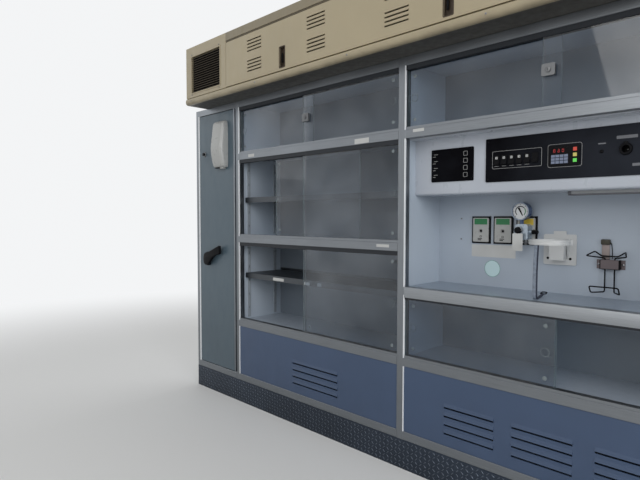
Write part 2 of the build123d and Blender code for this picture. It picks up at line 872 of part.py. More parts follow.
# Dispenser on the locker door: a moulded body with a bellied front, a sight window and a spout under it
dispenser_width = 100.0
dispenser_height = 243.0
dispenser_depth = 62.0
dispenser_x = 224.0
dispenser_z = 1079.0
belly_share = 0.36
foot_share = 0.5
foot_rise = 18.0
crown_share = 0.46
belly_radius = 80.0
foot_radius = 12.0
crown_radius = 12.0
dispenser_chamfer = 9.0
window_width = 16.0
window_height = 56.0
window_depth = 1.5
window_rise = 140.0
spout_width = 18.0
spout_drop = 9.0
spout_reach = 8.0


def make_dispenser():
    belly = (-dispenser_depth, dispenser_height * belly_share)
    foot = (-dispenser_depth * foot_share, foot_rise)
    crown = (-dispenser_depth * crown_share, dispenser_height)
    outline = make_face(Polyline((0, 0), foot, belly, crown, (0, dispenser_height), close=True))
    # Front corners, from the foot up to the crown
    for point, radius in zip((foot, belly, crown), (foot_radius, belly_radius, crown_radius)):
        nearest = outline.vertices().sort_by_distance(Vector(*point))[0]
        outline = fillet(nearest, radius)
    middle = locker_x + dispenser_x
    low = vent_z + dispenser_z
    half = dispenser_width / 2
    profile = Pos(face_y, low) * outline
    body = along_x(profile, middle - half, middle + half)
    front_limit = face_y - cut_margin
    side_edges = body.faces().filter_by(Axis.X).edges().filter_by(lambda e: e.center().Y < front_limit)
    body = chamfer(side_edges, dispenser_chamfer)
    # The sight window follows the slope of the front
    half_window = window_width / 2
    window_z = low + window_rise
    skin = along_x(profile - Pos(window_depth, 0) * profile, middle - half_window, middle + half_window)
    reach_y = face_y - dispenser_depth
    body -= skin & block(middle - half_window, middle + half_window, reach_y, face_y - spout_width,
                         window_z, window_z + window_height)
    spout_y = face_y - spout_reach
    body += block(middle - spout_width / 2, middle + spout_width / 2, spout_y - spout_width, spout_y,
                  low - spout_drop, low + foot_rise)
    add("dispenser", body)


# Overhead unit: soffit, rounded lip, fascia with grilles and a louvred lift-up hatch
overhead_rear_offset = 110.0
overhead_front_offset = 57.0
overhead_sheet = 12.0
lip_radius = 14.0
chamber_width = 360.0
wall_setback = 30.0
grille_offset = 50.0
grille_width = 263.0
grille_rise = 20.0
grille_height = 190.0
grille_frame = 10.0
grille_proud = 2.0
blade_count = 11
blade_thickness = 1.5
blade_depth = 18.0
blade_tilt = 35.0
overhead_x = rear_x + overhead_rear_offset
overhead_end_x = front_end_x - overhead_front_offset
fascia_back_y = fascia_y + overhead_sheet
hatch_x = overhead_x + chamber_width
hatch_end_x = overhead_end_x - chamber_width
hatch_width = hatch_end_x - hatch_x


def make_overhead():
    ends = (overhead_x, overhead_end_x)
    top = overall_height
    add("overhead_soffit", block(*ends, fascia_back_y, back_y, soffit_z, soffit_z + overhead_sheet))
    profile = Rectangle(overhead_sheet + fascia_setback, lip_height, align=(Align.MIN, Align.MIN))
    lip = along_x(Pos(lip_y, soffit_z) * profile, *ends)
    add("overhead_lip", fillet(lip.edges().filter_by(Axis.X).group_by(Axis.Y)[0], lip_radius))
    add("overhead_top", block(*ends, fascia_back_y, back_y, top - overhead_sheet, top))
    inside = (soffit_z + overhead_sheet, top - overhead_sheet)
    add("overhead_back", block(*ends, back_y - overhead_sheet, back_y, *inside))
    starts = (overhead_x, hatch_x - wall_setback, hatch_end_x + wall_setback - overhead_sheet,
              overhead_end_x - overhead_sheet)
    add("overhead_walls", *[block(x, x + overhead_sheet, fascia_back_y, back_y - overhead_sheet, *inside)
                            for x in starts])
    fascia = block(*ends, fascia_y, fascia_back_y, hatch_z, top)
    fascia -= block(hatch_x, hatch_end_x, fascia_y, fascia_back_y, hatch_z, hatch_top_z)
    low = hatch_z + grille_rise
    grilles = []
    for start in (overhead_x + grille_offset, overhead_end_x - grille_offset - grille_width):
        fascia -= block(start, start + grille_width, fascia_y, fascia_back_y, low, low + grille_height)
        grilles.append(grille_solid(start, low))
    add("overhead_fascia", fascia)
    add("duct_grilles", *grilles)


def grille_solid(start, low):
    """A flanged frame with tilted blades across it."""
    end = start + grille_width
    high = low + grille_height
    front = fascia_y - grille_proud
    frame = block(start + seat_gap, end - seat_gap, front, fascia_back_y, low + seat_gap, high - seat_gap)
    left = start + grille_frame
    right = end - grille_frame
    foot = low + grille_frame
    pitch = (grille_height - 2 * grille_frame) / blade_count
    frame -= block(left, right, front, fascia_back_y, foot, high - grille_frame)
    blade = Rot(0, 0, blade_tilt) * Rectangle(blade_depth, blade_thickness)
    for index in range(blade_count):
        placed = Pos(fascia_y + overhead_sheet / 2, foot + (index + 0.5) * pitch) * blade
        frame += along_x(placed, left - cut_margin, right + cut_margin)
    return frame


# The hatch is a pan with pressed louvres and two recessed pulls, hung from a piano hinge
hatch_gap = 2.0
hatch_depth = 12.0
hatch_sheet = 3.0
hatch_axis_setback = 4.0
hatch_axis_drop = 5.0
hatch_knuckles = 7
hatch_leaf_front = 2.0
hatch_leaf_width = 10.0
louvre_groups = 4
louvre_width = 103.0
louvre_offset = 170.0
louvre_slots = 4
louvre_slot_pitch = 15.3
louvre_slot = 5.0
louvre_hood_proud = 2.0
louvre_hood_rise = 8.0
louvre_upper_rise = 131.0
louvre_lower_rise = 40.0
pull_width = 34.0
pull_height = 86.0
pull_rise = 14.0
pull_offset = 398.0
pull_wall = 3.0
pull_depth = 12.0
louvre_pitch = (hatch_width - 2 * louvre_offset - louvre_width) / (louvre_groups - 1)
pull_spread = hatch_width - 2 * pull_offset - pull_width
hatch_axis_y = fascia_y + hatch_axis_setback
hatch_axis_z = hatch_top_z - hatch_axis_drop


def make_hatch():
    x0 = hatch_x + hatch_gap
    x1 = hatch_end_x - hatch_gap
    z0 = hatch_z + hatch_gap
    z1 = hatch_axis_z - hatch_axis_drop
    sheet_back = fascia_y + hatch_sheet
    pan = block(x0, x1, fascia_y, fascia_y + hatch_depth, z0, z1)
    pan -= block(x0 + hatch_sheet, x1 - hatch_sheet, sheet_back, fascia_y + hatch_depth,
                 z0 + hatch_sheet, z1 - hatch_sheet)
    for group in range(louvre_groups):
        left = hatch_x + louvre_offset + group * louvre_pitch
        right = left + louvre_width
        for rise in (louvre_lower_rise, louvre_upper_rise):
            for slot in range(louvre_slots):
                low = hatch_z + rise + slot * louvre_slot_pitch
                top = low + louvre_slot
                pan -= block(left, right, fascia_y, sheet_back, low, top)
                pan += hood(left, right, fascia_y, top, louvre_hood_proud, louvre_hood_rise)
    pulls = []
    for index in range(2):
        left = hatch_x + pull_offset + index * pull_spread
        right = left + pull_width
        low = hatch_z + pull_rise
        high = low + pull_height
        pan -= block(left, right, fascia_y, sheet_back, low, high)
        cup_back = sheet_back + pull_depth
        cup = block(left - pull_wall, right + pull_wall, sheet_back, cup_back + pull_wall,
                    low - pull_wall, high + pull_wall)
        pulls.append(cup - block(left, right, sheet_back, cup_back, low, high))
    add("hatch_panel", pan)
    add("hatch_pulls", *pulls)


def make_hatch_hinge():
    # Both leaves lie flat, the fixed one under the top strip and the moving one on the hatch's upper edge
    offset = hatch_axis_drop - leaf_thickness / 2
    middle_y = hatch_leaf_width / 2 - hatch_leaf_front
    pairs = []
    for side in (1, -1):
        leaf = Pos(middle_y, side * offset) * Rectangle(hatch_leaf_width, leaf_thickness)
        web = Pos(0, side * offset / 2) * Rectangle(leaf_thickness, offset)
        pairs.append((leaf, RegularPolygon(knuckle_radius, knuckle_sides) + web))
    fixed, moving = hinge_pair(hatch_width - 2 * hatch_gap, hatch_knuckles, *pairs)
    place = Pos(hatch_x + hatch_gap, hatch_axis_y, hatch_axis_z)
    add("hatch_hinge_fixed", place * fixed)
    add("hatch_hinge_moving", place * moving)


make_frame()
make_case()
make_kick()
make_sliding_doors()
make_shelves()
make_vent_panels()
make_recess()
make_console()
make_switches()
make_display()
make_outlets()
make_regulator()
make_bracket()
make_rack()
make_rack_clamp()
make_locker()
make_locker_hinge()
make_dispenser()
make_overhead()
make_hatch()
make_hatch_hinge()

for name, solids in parts.items():
    shape = solids[0] if len(solids) == 1 else Compound(children=solids)
    export_step(shape, f"parts/{name}.step")
print(len(parts), "nodes", unit_length, case_depth + lip_overhang, overall_height)
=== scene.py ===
import math
import bmesh
import bpy
from mathutils import Matrix, Vector


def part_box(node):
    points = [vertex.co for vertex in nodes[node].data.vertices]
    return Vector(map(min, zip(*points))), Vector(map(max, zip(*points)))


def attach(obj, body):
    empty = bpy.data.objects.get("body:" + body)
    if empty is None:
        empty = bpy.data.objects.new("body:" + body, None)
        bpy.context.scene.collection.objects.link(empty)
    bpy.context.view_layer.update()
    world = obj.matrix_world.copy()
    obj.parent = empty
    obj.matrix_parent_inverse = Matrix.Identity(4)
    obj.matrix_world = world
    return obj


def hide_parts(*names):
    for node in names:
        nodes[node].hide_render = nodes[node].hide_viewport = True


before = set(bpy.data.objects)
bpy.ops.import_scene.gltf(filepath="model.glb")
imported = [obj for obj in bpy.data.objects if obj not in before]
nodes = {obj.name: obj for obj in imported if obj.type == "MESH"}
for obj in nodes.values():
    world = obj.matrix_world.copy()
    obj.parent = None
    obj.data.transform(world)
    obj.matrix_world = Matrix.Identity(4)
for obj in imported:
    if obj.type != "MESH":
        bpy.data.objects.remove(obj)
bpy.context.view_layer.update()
print("frame loaded:", len(nodes), "nodes")

# Pieces are built in millimetres and scaled once, when they are finished
mm = 0.001


# Camera, where the photographer stood beside the front end of the unit
cameraSet = {"place": (1.329, -1.685, 0.960), "right": (0.70709, 0.70712, 0.00096), "up": (-0.03128, 0.02992, 0.99906),
             "back": (0.70643, -0.70646, 0.04327), "lens": 29.22, "sensor": 36.0, "nearest": 0.02}


def makeCamera():
    data = bpy.data.cameras.new("camera")
    data.sensor_width = cameraSet["sensor"]
    data.sensor_fit = "HORIZONTAL"
    data.lens = cameraSet["lens"]
    data.clip_start = cameraSet["nearest"]
    camera = bpy.data.objects.new("camera", data)
    turn = Matrix((cameraSet["right"], cameraSet["up"], cameraSet["back"])).transposed().to_4x4()
    camera.matrix_world = Matrix.Translation(cameraSet["place"]) @ turn
    bpy.context.scene.collection.objects.link(camera)
    bpy.context.scene.camera = camera


# Studio: a pale floor, a pale surround and soft lamps, the strongest from the front end of the unit
# The floor turns into the backdrop between two distances from the origin
# Lamps: name, place, aim, size, power, color
studio = {"floorColor": (0.80, 0.80, 0.79), "floorRoughness": 0.7, "floorSize": 9.0, "fadeStart": 2.3, "fadeEnd": 5.2,
          "surround": (0.90, 0.91, 0.92), "worldStrength": 0.50,
          "lamps": (("keyLamp", (1.0, -3.6, 2.9), (0.1, 0.0, 0.8), 3.0, 46, (1.0, 0.98, 0.95)),
                    ("sideLamp", (5.2, -2.2, 2.3), (0.2, 0.0, 0.9), 2.4, 112, (0.95, 0.97, 1.0)),
                    ("rearLamp", (-4.2, -2.2, 2.6), (-0.6, 0.0, 0.9), 2.4, 8, (0.92, 0.96, 1.0)),
                    ("backLamp", (0.0, 5.0, 3.6), (0.0, 0.2, 0.9), 3.6, 70, (1.0, 1.0, 1.0)))}


# Gives a socket a value, or what another node puts out
def feed(tree, socket, value):
    if isinstance(value, bpy.types.NodeSocket):
        tree.links.new(value, socket)
    else:
        socket.default_value = (*value, 1) if socket.type == "RGBA" else value


def addNode(tree, kind, inputs, output=0, **settings):
    node = tree.nodes.new(kind)
    for key, value in settings.items():
        setattr(node, key, value)
    for key, value in inputs.items():
        feed(tree, node.inputs[key], value)
    return node.outputs[output]


# One for the rays that show something to the eye, zero for those that light it
def seenRays(tree):
    rays = tree.nodes.new("ShaderNodeLightPath").outputs
    total = rays["Is Camera Ray"]
    for ray in ("Is Glossy Ray", "Is Transmission Ray"):
        total = addNode(tree, "ShaderNodeMath", {0: total, 1: rays[ray]}, operation="MAXIMUM")
    return total


def makeWorld():
    world = bpy.data.worlds.new("surround")
    bpy.context.scene.world = world
    world.use_nodes = True
    tree = world.node_tree
    tree.nodes.clear()
    lit, seen = [addNode(tree, "ShaderNodeBackground", {"Color": studio["surround"], "Strength": strength})
                 for strength in (studio["worldStrength"], 1.0)]
    mixed = addNode(tree, "ShaderNodeMixShader", {0: seenRays(tree), 1: lit, 2: seen})
    feed(tree, tree.nodes.new("ShaderNodeOutputWorld").inputs["Surface"], mixed)


# Materials. Every pattern reads Object coordinates, in metres
class Finish:
    # One material with short ways to add nodes

    def __init__(self, name, roughness, metallic=0.0):
        self.material = bpy.data.materials.new(name)
        self.material.use_nodes = True
        self.tree = self.material.node_tree
        self.shader = self.tree.nodes["Principled BSDF"]
        self.give("Roughness", roughness)
        self.give("Metallic", metallic)
        self.coords = self.add("ShaderNodeTexCoord", {}, "Object")

    def add(self, kind, inputs, output=0, **settings):
        return addNode(self.tree, kind, inputs, output, **settings)

    def give(self, key, value):
        feed(self.tree, self.shader.inputs[key], value)

    # Shows a mix of two shaders in place of the usual one
    def show(self, share, first, second):
        mixed = self.add("ShaderNodeMixShader", {0: share, 1: first, 2: second})
        feed(self.tree, self.tree.nodes["Material Output"].inputs["Surface"], mixed)

    def math(self, operation, first, second):
        return self.add("ShaderNodeMath", {0: first, 1: second}, operation=operation)

    def noise(self, scale, detail=4.0, stretch=(1, 1, 1)):
        place = self.add("ShaderNodeMapping", {"Scale": stretch, "Vector": self.coords})
        return self.add("ShaderNodeTexNoise", {"Scale": scale, "Detail": detail, "Vector": place}, "Fac")

    def ramp(self, source, low, high, start=0.3, end=0.7):
        return self.add("ShaderNodeMapRange", {"From Min": start, "From Max": end, "To Min": low, "To Max": high,
                                               "Value": source}, "Result")

    def blend(self, factor, first, second):
        return self.add("ShaderNodeMix", {"A": first, "B": second, "Factor": factor}, "Result", data_type="RGBA")

    # Faint clouds between a darker and a lighter tone of a color
    def clouds(self, color, darker, lighter, scale, detail=4.0):
        return self.blend(self.ramp(self.noise(scale, detail), 0.0, 1.0), shade(color, darker), shade(color, lighter))

    def bump(self, source, strength, distance):
        self.give("Normal", self.add("ShaderNodeBump", {"Strength": strength, "Distance": distance, "Height": source}))

    def split(self, source, letter):
        return self.add("ShaderNodeSeparateXYZ", {0: source}, letter)


def shade(color, factor):
    return tuple(min(1.0, part * factor) for part in color)


# Floor that keeps the shadow near the object and turns into the backdrop farther off
def makeFloorMaterial():
    f = Finish("paleFloor", studio["floorRoughness"])
    f.give("Base Color", studio["floorColor"])
    reach = f.add("ShaderNodeVectorMath", {0: f.coords}, "Value", operation="LENGTH")
    fade = f.add("ShaderNodeMapRange", {"From Min": studio["fadeStart"], "From Max": studio["fadeEnd"],
                                        "Value": reach}, "Result", interpolation_type="SMOOTHSTEP")
    backdrop = f.add("ShaderNodeEmission", {"Color": studio["surround"]})
    f.show(f.math("MULTIPLY", fade, seenRays(f.tree)), f.shader.outputs[0], backdrop)
    return f.material


def makeStudio():
    scene = bpy.context.scene
    scene.view_settings.view_transform = "Standard"
    bm = bmesh.new()
    bmesh.ops.create_grid(bm, x_segments=1, y_segments=1, size=studio["floorSize"])
    mesh = bpy.data.meshes.new("floor")
    bm.to_mesh(mesh)
    bm.free()
    floor = bpy.data.objects.new("floor", mesh)
    scene.collection.objects.link(floor)
    mesh.materials.append(makeFloorMaterial())
    for name, place, aim, size, power, color in studio["lamps"]:
        data = bpy.data.lights.new(name, "AREA")
        data.shape = "SQUARE"
        data.size = size
        data.energy = power
        data.color = color
        light = bpy.data.objects.new(name, data)
        light.location = place
        light.rotation_euler = (Vector(aim) - Vector(place)).to_track_quat("-Z", "Y").to_euler()
        scene.collection.objects.link(light)


makeCamera()
makeWorld()
makeStudio()
print("camera and studio made")


# Sprayed or laminated sheet: faint mottling, scuffs and orange peel
def paint(name, color, roughness=0.4, mottle=0.05, peel=0.12, metallic=0.0, darken=0.0, darkenTop=0.5, darkenFoot=0.0,
          wear=0.085):
    f = Finish(name, roughness, metallic)
    base = f.clouds(color, 1 - mottle, 1 + mottle, 3.1, 5.0)
    # Optional darkening in patches below a height: painted shade on the lip and vent panels, plain darkening elsewhere
    if darken:
        low = f.ramp(f.split(f.coords, "Z"), darken, 0.0, darkenFoot, darkenTop)
        patch = f.math("MULTIPLY", low, f.ramp(f.noise(11.0, 6.0), 0.2, 1.0))
        base = f.blend(patch, base, shade(color, 0.45))
    f.give("Base Color", base)
    f.give("Roughness", f.ramp(f.noise(42.0, 6.0, (1, 1, 0.35)), roughness - wear, roughness + wear))
    f.bump(f.noise(900.0, 2.0), peel, 0.0004)
    return f.material


# Anodised aluminium with fine lines along one axis
def brushed(name, color, along, roughness=0.34):
    f = Finish(name, roughness, 1.0)
    lines = f.noise(1500.0, 3.0, [0.012 if letter == along else 1.0 for letter in "xyz"])
    f.give("Base Color", f.blend(f.ramp(lines, 0.0, 1.0), shade(color, 0.88), shade(color, 1.08)))
    f.give("Roughness", f.ramp(f.noise(5.0), roughness - 0.05, roughness + 0.09))
    f.bump(lines, 0.10, 0.0003)
    return f.material


# Moulded plastic with a fine grain and faint uneven gloss
def plastic(name, color, roughness=0.45, grain=0.15, grainScale=1400.0, mottle=0.04, gloss=0.5):
    f = Finish(name, roughness)
    f.give("Specular IOR Level", gloss)
    f.give("Base Color", f.clouds(color, 1 - mottle, 1 + mottle, 9.0))
    f.give("Roughness", f.ramp(f.noise(60.0), roughness - 0.06, roughness + 0.08))
    f.bump(f.noise(grainScale, 2.0), grain, 0.0003)
    return f.material


# Dark laminate with a painted sheen that grows from one place along X to another
def paintedSheenPlastic(name, first, second, start, end):
    f = Finish(name, 0.5)
    f.give("Specular IOR Level", 0.03)
    cloud = f.ramp(f.noise(9.0), -0.1, 0.1)
    share = f.math("ADD", f.ramp(f.split(f.coords, "X"), 0.0, 1.0, start, end), cloud)
    f.give("Base Color", f.blend(share, first, second))
    f.give("Roughness", f.ramp(f.noise(60.0), 0.46, 0.58))
    f.bump(f.noise(900.0, 2.0), 0.08, 0.0003)
    return f.material


# Acrylic sheet: lamps and eyes pass through it, and its cut edges look frosted
def clearSheet(name, tint, edge):
    f = Finish(name, 0.25)
    through = f.add("ShaderNodeBsdfTransparent", {"Color": tint})
    gloss = f.add("ShaderNodeBsdfGlossy", {"Roughness": 0.03})
    fresnel = f.add("ShaderNodeFresnel", {"IOR": 1.49})
    geometry = f.tree.nodes.new("ShaderNodeNewGeometry").outputs
    mirrorShare = f.math("MULTIPLY", fresnel, f.math("SUBTRACT", 1.0, geometry["Backfacing"]))
    haze = f.ramp(f.noise(6.0, 5.0), 0.0, 0.03)
    sheet = f.add("ShaderNodeMixShader", {0: f.math("ADD", mirrorShare, haze), 1: through, 2: gloss})
    level = f.math("ABSOLUTE", f.split(geometry["True Normal"], "Y"), 0.0)
    f.give("Base Color", f.clouds(edge, 0.9, 1.1, 40.0))
    f.show(f.math("LESS_THAN", level, 0.5), sheet, f.shader.outputs[0])
    return f.material


# A lit display or lens
def glow(name, color, strength):
    f = Finish(name, 0.3)
    f.give("Base Color", f.clouds(color, 0.85, 1.0, 120.0, 2.0))
    f.give("Emission Color", color)
    f.give("Emission Strength", strength)
    f.bump(f.noise(800.0, 1.0), 0.05, 0.0002)
    return f.material


# Woven strap: ribs across and along
def woven(name, color):
    f = Finish(name, 0.8)
    ribs = f.add("ShaderNodeTexWave", {"Scale": 260.0, "Distortion": 0.6, "Vector": f.coords}, "Fac",
                 wave_type="BANDS", bands_direction="Z")
    f.give("Base Color", f.clouds(color, 0.8, 1.2, 90.0, 3.0))
    f.bump(ribs, 0.5, 0.0006)
    return f.material


# Finishes by kind. Columns follow the values of the function that heads each group
cream = (0.35, 0.297, 0.195)
aluminium = (0.215, 0.23, 0.247)
kinds = {
    brushed: {
        "aluminiumAlongX": (aluminium, "x"),
        "aluminiumAlongZ": (aluminium, "z"),
        # A lighter copy of the aluminium: painted light on the nosing
        "nosingMetal": ((0.26, 0.275, 0.29), "x"),
        # A darker copy of the aluminium: painted shade on the shelves inside the bays
        "shelfMetal": ((0.085, 0.092, 0.10), "x", 0.42)},
    paint: {
        "caseBoard": ((0.36, 0.41, 0.475), 0.40, 0.04, 0.1, 0.0, 0.25, 0.45),
        # Vent panels: dark grey for the shade low on the unit, darker still towards the bottom: painted shade
        "greyPanel": ((0.044, 0.074, 0.140), 0.38, 0.05, 0.14, 0.0, 0.35, 0.5),
        "lockerPaint": ((0.068, 0.102, 0.128), 0.38, 0.05, 0.14, 0.0, 0.3, 0.6),
        "counterTop": ((0.26, 0.31, 0.375), 0.32, 0.04, 0.02, 0.0, 0.0, 0.5, 0.0, 0.02),
        # Darker and lighter copies of the case board: painted shade on the back inside the bays, painted light on the
        # uprights
        "backBoard": ((0.17, 0.20, 0.235), 0.42, 0.04, 0.03),
        "sideBoard": ((0.41, 0.465, 0.53), 0.42, 0.04, 0.05),
        "standardPaint": ((0.27, 0.30, 0.33), 0.42, 0.08, 0.1),
        "consolePaint": ((0.40, 0.43, 0.48), 0.34),
        "creamPaint": (cream, 0.42),
        # Darker cream: painted shade at the top of the fascia, under the ceiling
        "topCream": (shade(cream, 0.6), 0.45),
        # The lip darkens under its rounded edge: painted shade
        "lipCream": (cream, 0.42, 0.05, 0.12, 0.0, 0.9, 1.580, 1.556),
        "grilleBrown": ((0.075, 0.058, 0.036), 0.5, 0.15, 0.15),
        # Hinge: darker cream, painted shade in its gap
        "hingeBrown": ((0.11, 0.09, 0.06), 0.45, 0.15, 0.1, 0.4),
        # Underside of the overhead: near black brown, painted shade
        "soffitPaint": ((0.045, 0.042, 0.035), 0.5),
        "regulatorMetal": ((0.36, 0.42, 0.48), 0.3, 0.08, 0.05, 0.5),
        "treadMetal": ((0.028, 0.038, 0.056), 0.40, 0.2, 0.1, 0.6, 0.5, 0.12),
        # Lozenge tops: wear and painted highlight
        "treadWorn": ((0.062, 0.076, 0.098), 0.36, 0.3, 0.1, 0.5),
        "satinChrome": ((0.15, 0.155, 0.16), 0.42, 0.04, 0.04, 0.8),
        "screwSteel": ((0.28, 0.28, 0.29), 0.32, 0.08, 0.05, 1.0),
        "clampBrown": ((0.105, 0.085, 0.09), 0.42, 0.15, 0.2, 0.3)},
    plastic: {
        "blackPlastic": ((0.004, 0.004, 0.005), 0.46, 0.15, 1400.0, 0.04, 0.08),
        "trackBlack": ((0.022, 0.025, 0.030), 0.45, 0.1, 900.0, 0.04, 0.2),
        "jambBright": ((0.78, 0.80, 0.82), 0.3, 0.05, 900.0),
        "whitePlastic": ((0.36, 0.365, 0.355), 0.3, 0.05),
        "ivoryPlastic": ((0.52, 0.53, 0.53), 0.35, 0.06),
        "lampLens": ((0.30, 0.31, 0.32), 0.4, 0.2, 500.0),
        "frostedEdge": ((0.14, 0.168, 0.18), 0.45, 0.1, 900.0),
        "labelWhite": ((0.48, 0.485, 0.475), 0.5, 0.04, 400.0, 0.08),
        "lineGrey": ((0.27, 0.27, 0.27), 0.5, 0.05, 500.0),
        "dialWhite": ((0.62, 0.63, 0.64), 0.4, 0.03, 400.0),
        "webShadow": ((0.06, 0.068, 0.08), 0.6, 0.05, 500.0, 0.04, 0.1),
        "etchGrey": ((0.12, 0.125, 0.14), 0.5, 0.05, 500.0, 0.3),
        "discWhite": ((0.50, 0.66, 0.68), 0.35, 0.05, 500.0),
        "discRing": ((0.16, 0.32, 0.28), 0.4, 0.05, 500.0),
        "oxygenGreen": ((0.01, 0.16, 0.05), 0.35, 0.05, 500.0),
        "vacuumYellow": ((0.62, 0.45, 0.05), 0.38, 0.05, 500.0),
        "gaugeBlue": ((0.045, 0.075, 0.15), 0.3, 0.06),
        "tongueTan": ((0.27, 0.225, 0.215), 0.5, 0.3, 300.0, 0.1),
        "capOlive": ((0.045, 0.042, 0.03), 0.5, 0.25, 500.0, 0.04, 0.3),
        "keyGrey": ((0.15, 0.18, 0.26), 0.45, 0.1, 700.0),
        "pullBrown": ((0.055, 0.04, 0.028), 0.55, 0.2, 700.0, 0.1, 0.25)},
    glow: {
        "keyRed": ((0.50, 0.05, 0.03), 0.15),
        "keyYellow": ((0.52, 0.45, 0.12), 0.12),
        "keyGreen": ((0.10, 0.55, 0.08), 0.3),
        "screenRed": ((0.35, 0.02, 0.02), 0.5)},
    woven: {
        "webbing": ((0.20, 0.235, 0.29),),
        "darkWebbing": ((0.02, 0.025, 0.045),)},
    paintedSheenPlastic: {
        # Near black, with a painted sheen growing towards the front end
        "panelBlack": ((0.002, 0.002, 0.003), (0.030, 0.034, 0.044), 0.45, 1.16)},
    clearSheet: {
        "clearPane": ((0.845, 0.875, 0.905), (0.12, 0.16, 0.17))},
}
finishes = {name: make(name, *values) for make, rows in kinds.items() for name, values in rows.items()}

# The CAD nodes that wear each finish
worn = {
    "aluminiumAlongZ": "frame_posts locker_hinge_fixed locker_hinge_moving",
    "aluminiumAlongX": "frame_rails counter_nosing lower_tracks",
    "blackPlastic": "shelf_clips locker_latch regulator_knob power_socket rocker_switches display_unit gas_outlets "
                    "wire_rack",
    "creamPaint": "overhead_fascia overhead_walls overhead_top overhead_back hatch_panel duct_grilles",
    "caseBoard": "decks recess_wall", "backBoard": "back_panel", "sideBoard": "upright_panels",
    "trackBlack": "upper_tracks", "hingeBrown": "hatch_hinge_fixed hatch_hinge_moving", "greyPanel": "vent_panels",
    "lockerPaint": "locker_door", "treadMetal": "kick_plate", "satinChrome": "lock_row_a lock_upper",
    "shelfMetal": "shelves", "standardPaint": "shelf_standards", "pullBrown": "hatch_pulls",
    "panelBlack": "switch_plate control_panel", "counterTop": "counter", "consolePaint": "console_shell",
    "whitePlastic": "dispenser", "ivoryPlastic": "bracket_plate canister_ring", "lampLens": "console_lamp",
    "regulatorMetal": "regulator_body", "gaugeBlue": "vacuum_gauge", "clampBrown": "rack_clamp",
    "webbing": "bracket_strap", "lipCream": "overhead_lip", "soffitPaint": "overhead_soffit",
    "clearPane": " ".join(node for node in nodes if node.startswith("pane_")),
}
for finish, wearers in worn.items():
    for node in wearers.split():
        nodes[node].data.materials.clear()
        nodes[node].data.materials.append(finishes[finish])
print("materials made:", len(bpy.data.materials))


# Places read from the frame, in millimetres
class Span:
    def __init__(self, low, high):
        self.x0, self.y0, self.z0 = (part / mm for part in low)
        self.x1, self.y1, self.z1 = (part / mm for part in high)
        self.x = (self.x0 + self.x1) / 2
        self.y = (self.y0 + self.y1) / 2
        self.z = (self.z0 + self.z1) / 2

    # Left, right, bottom and top, moved outwards
    def grown(self, by):
        return self.x0 - by, self.x1 + by, self.z0 - by, self.z1 + by


def spanOf(node):
    return Span(*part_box(node))


# The separate solids of one CAD node, from the rear end of the unit forwards
def solidsOf(node):
    bm = bmesh.new()
    bm.from_mesh(nodes[node].data)
    bmesh.ops.remove_doubles(bm, verts=bm.verts, dist=1e-6)
    left = set(bm.verts)
    spans = []
    while left:
        stack = [left.pop()]
        group = list(stack)
        while stack:
            for edge in stack.pop().link_edges:
                for vert in edge.verts:
                    if vert in left:
                        left.discard(vert)
                        stack.append(vert)
                        group.append(vert)
        corners = [[pick(vert.co[axis] for vert in group) for axis in range(3)] for pick in (min, max)]
        spans.append(Span(*corners))
    bm.free()
    return sorted(spans, key=lambda span: (round(span.x0), round(span.z0), round(span.y0)))


# Shapes, added to a bmesh in millimetres. The front of the unit faces -Y
def bevelEdges(bm, edges, offset, segments):
    bmesh.ops.bevel(bm, geom=list(edges), offset=offset, offset_type="OFFSET", segments=segments, profile=0.5,
                    affect="EDGES", material=-1)


def addBox(bm, x0, x1, y0, y1, z0, z1, bevel=0.0):
    verts = bmesh.ops.create_cube(bm, size=1.0)["verts"]
    bmesh.ops.scale(bm, vec=(x1 - x0, y1 - y0, z1 - z0), verts=verts)
    bmesh.ops.translate(bm, vec=((x0 + x1) / 2, (y0 + y1) / 2, (z0 + z1) / 2), verts=verts)
    if bevel:
        bevelEdges(bm, {edge for vert in verts for edge in vert.link_edges}, bevel, 2)


def roundedOutline(x0, x1, z0, z1, radius, steps=5):
    points = []
    corners = ((x1 - radius, z1 - radius, 0), (x0 + radius, z1 - radius, 90),
               (x0 + radius, z0 + radius, 180), (x1 - radius, z0 + radius, 270))
    for x, z, start in corners:
        for step in range(steps + 1):
            angle = math.radians(start + 90 * step / steps)
            points.append((x + radius * math.cos(angle), z + radius * math.sin(angle)))
    return points


# A flat outline drawn out into a solid
def addPrism(bm, corners, along):
    face = bm.faces.new([bm.verts.new(corner) for corner in corners])
    made = bmesh.ops.extrude_face_region(bm, geom=[face])["geom"]
    bmesh.ops.translate(bm, vec=along, verts=[item for item in made if isinstance(item, bmesh.types.BMVert)])


def addPlate(bm, outline, y0, y1):
    addPrism(bm, [(x, y1, z) for x, z in outline], (0, y0 - y1, 0))


# Faces from each ring of points to the next, with the two ends closed or left open
def addRings(bm, rings, capped=False):
    for first, second in zip(rings, rings[1:]):
        for index in range(len(first)):
            after = (index + 1) % len(first)
            bm.faces.new((first[index], first[after], second[after], second[index]))
    if capped:
        bm.faces.new(rings[0])
        bm.faces.new(list(reversed(rings[-1])))


# A flat ring from one outline to another with as many points
def addFrame(bm, outer, inner, y0, y1):
    rings = [[bm.verts.new((x, y, z)) for x, z in points]
             for points, y in ((outer, y0), (inner, y0), (inner, y1), (outer, y1))]
    addRings(bm, rings + rings[:1])


# A flat rounded frame: an outline with the same outline, moved inwards, cut out of it
def addOutlineFrame(bm, x0, x1, z0, z1, radius, line, y0, y1):
    outer, inner = [roundedOutline(x0 + inset, x1 - inset, z0 + inset, z1 - inset, radius - inset / 2)
                    for inset in (0, line)]
    addFrame(bm, outer, inner, y0, y1)


def addDisc(bm, x, z, y0, y1, radius, front=None, segments=32):
    turn = Matrix.Rotation(math.radians(90), 4, "X")
    place = Matrix.Translation((x, (y0 + y1) / 2, z)) @ turn
    bmesh.ops.create_cone(bm, cap_ends=True, cap_tris=False, segments=segments, radius1=radius,
                          radius2=radius if front is None else front, depth=y1 - y0, matrix=place)


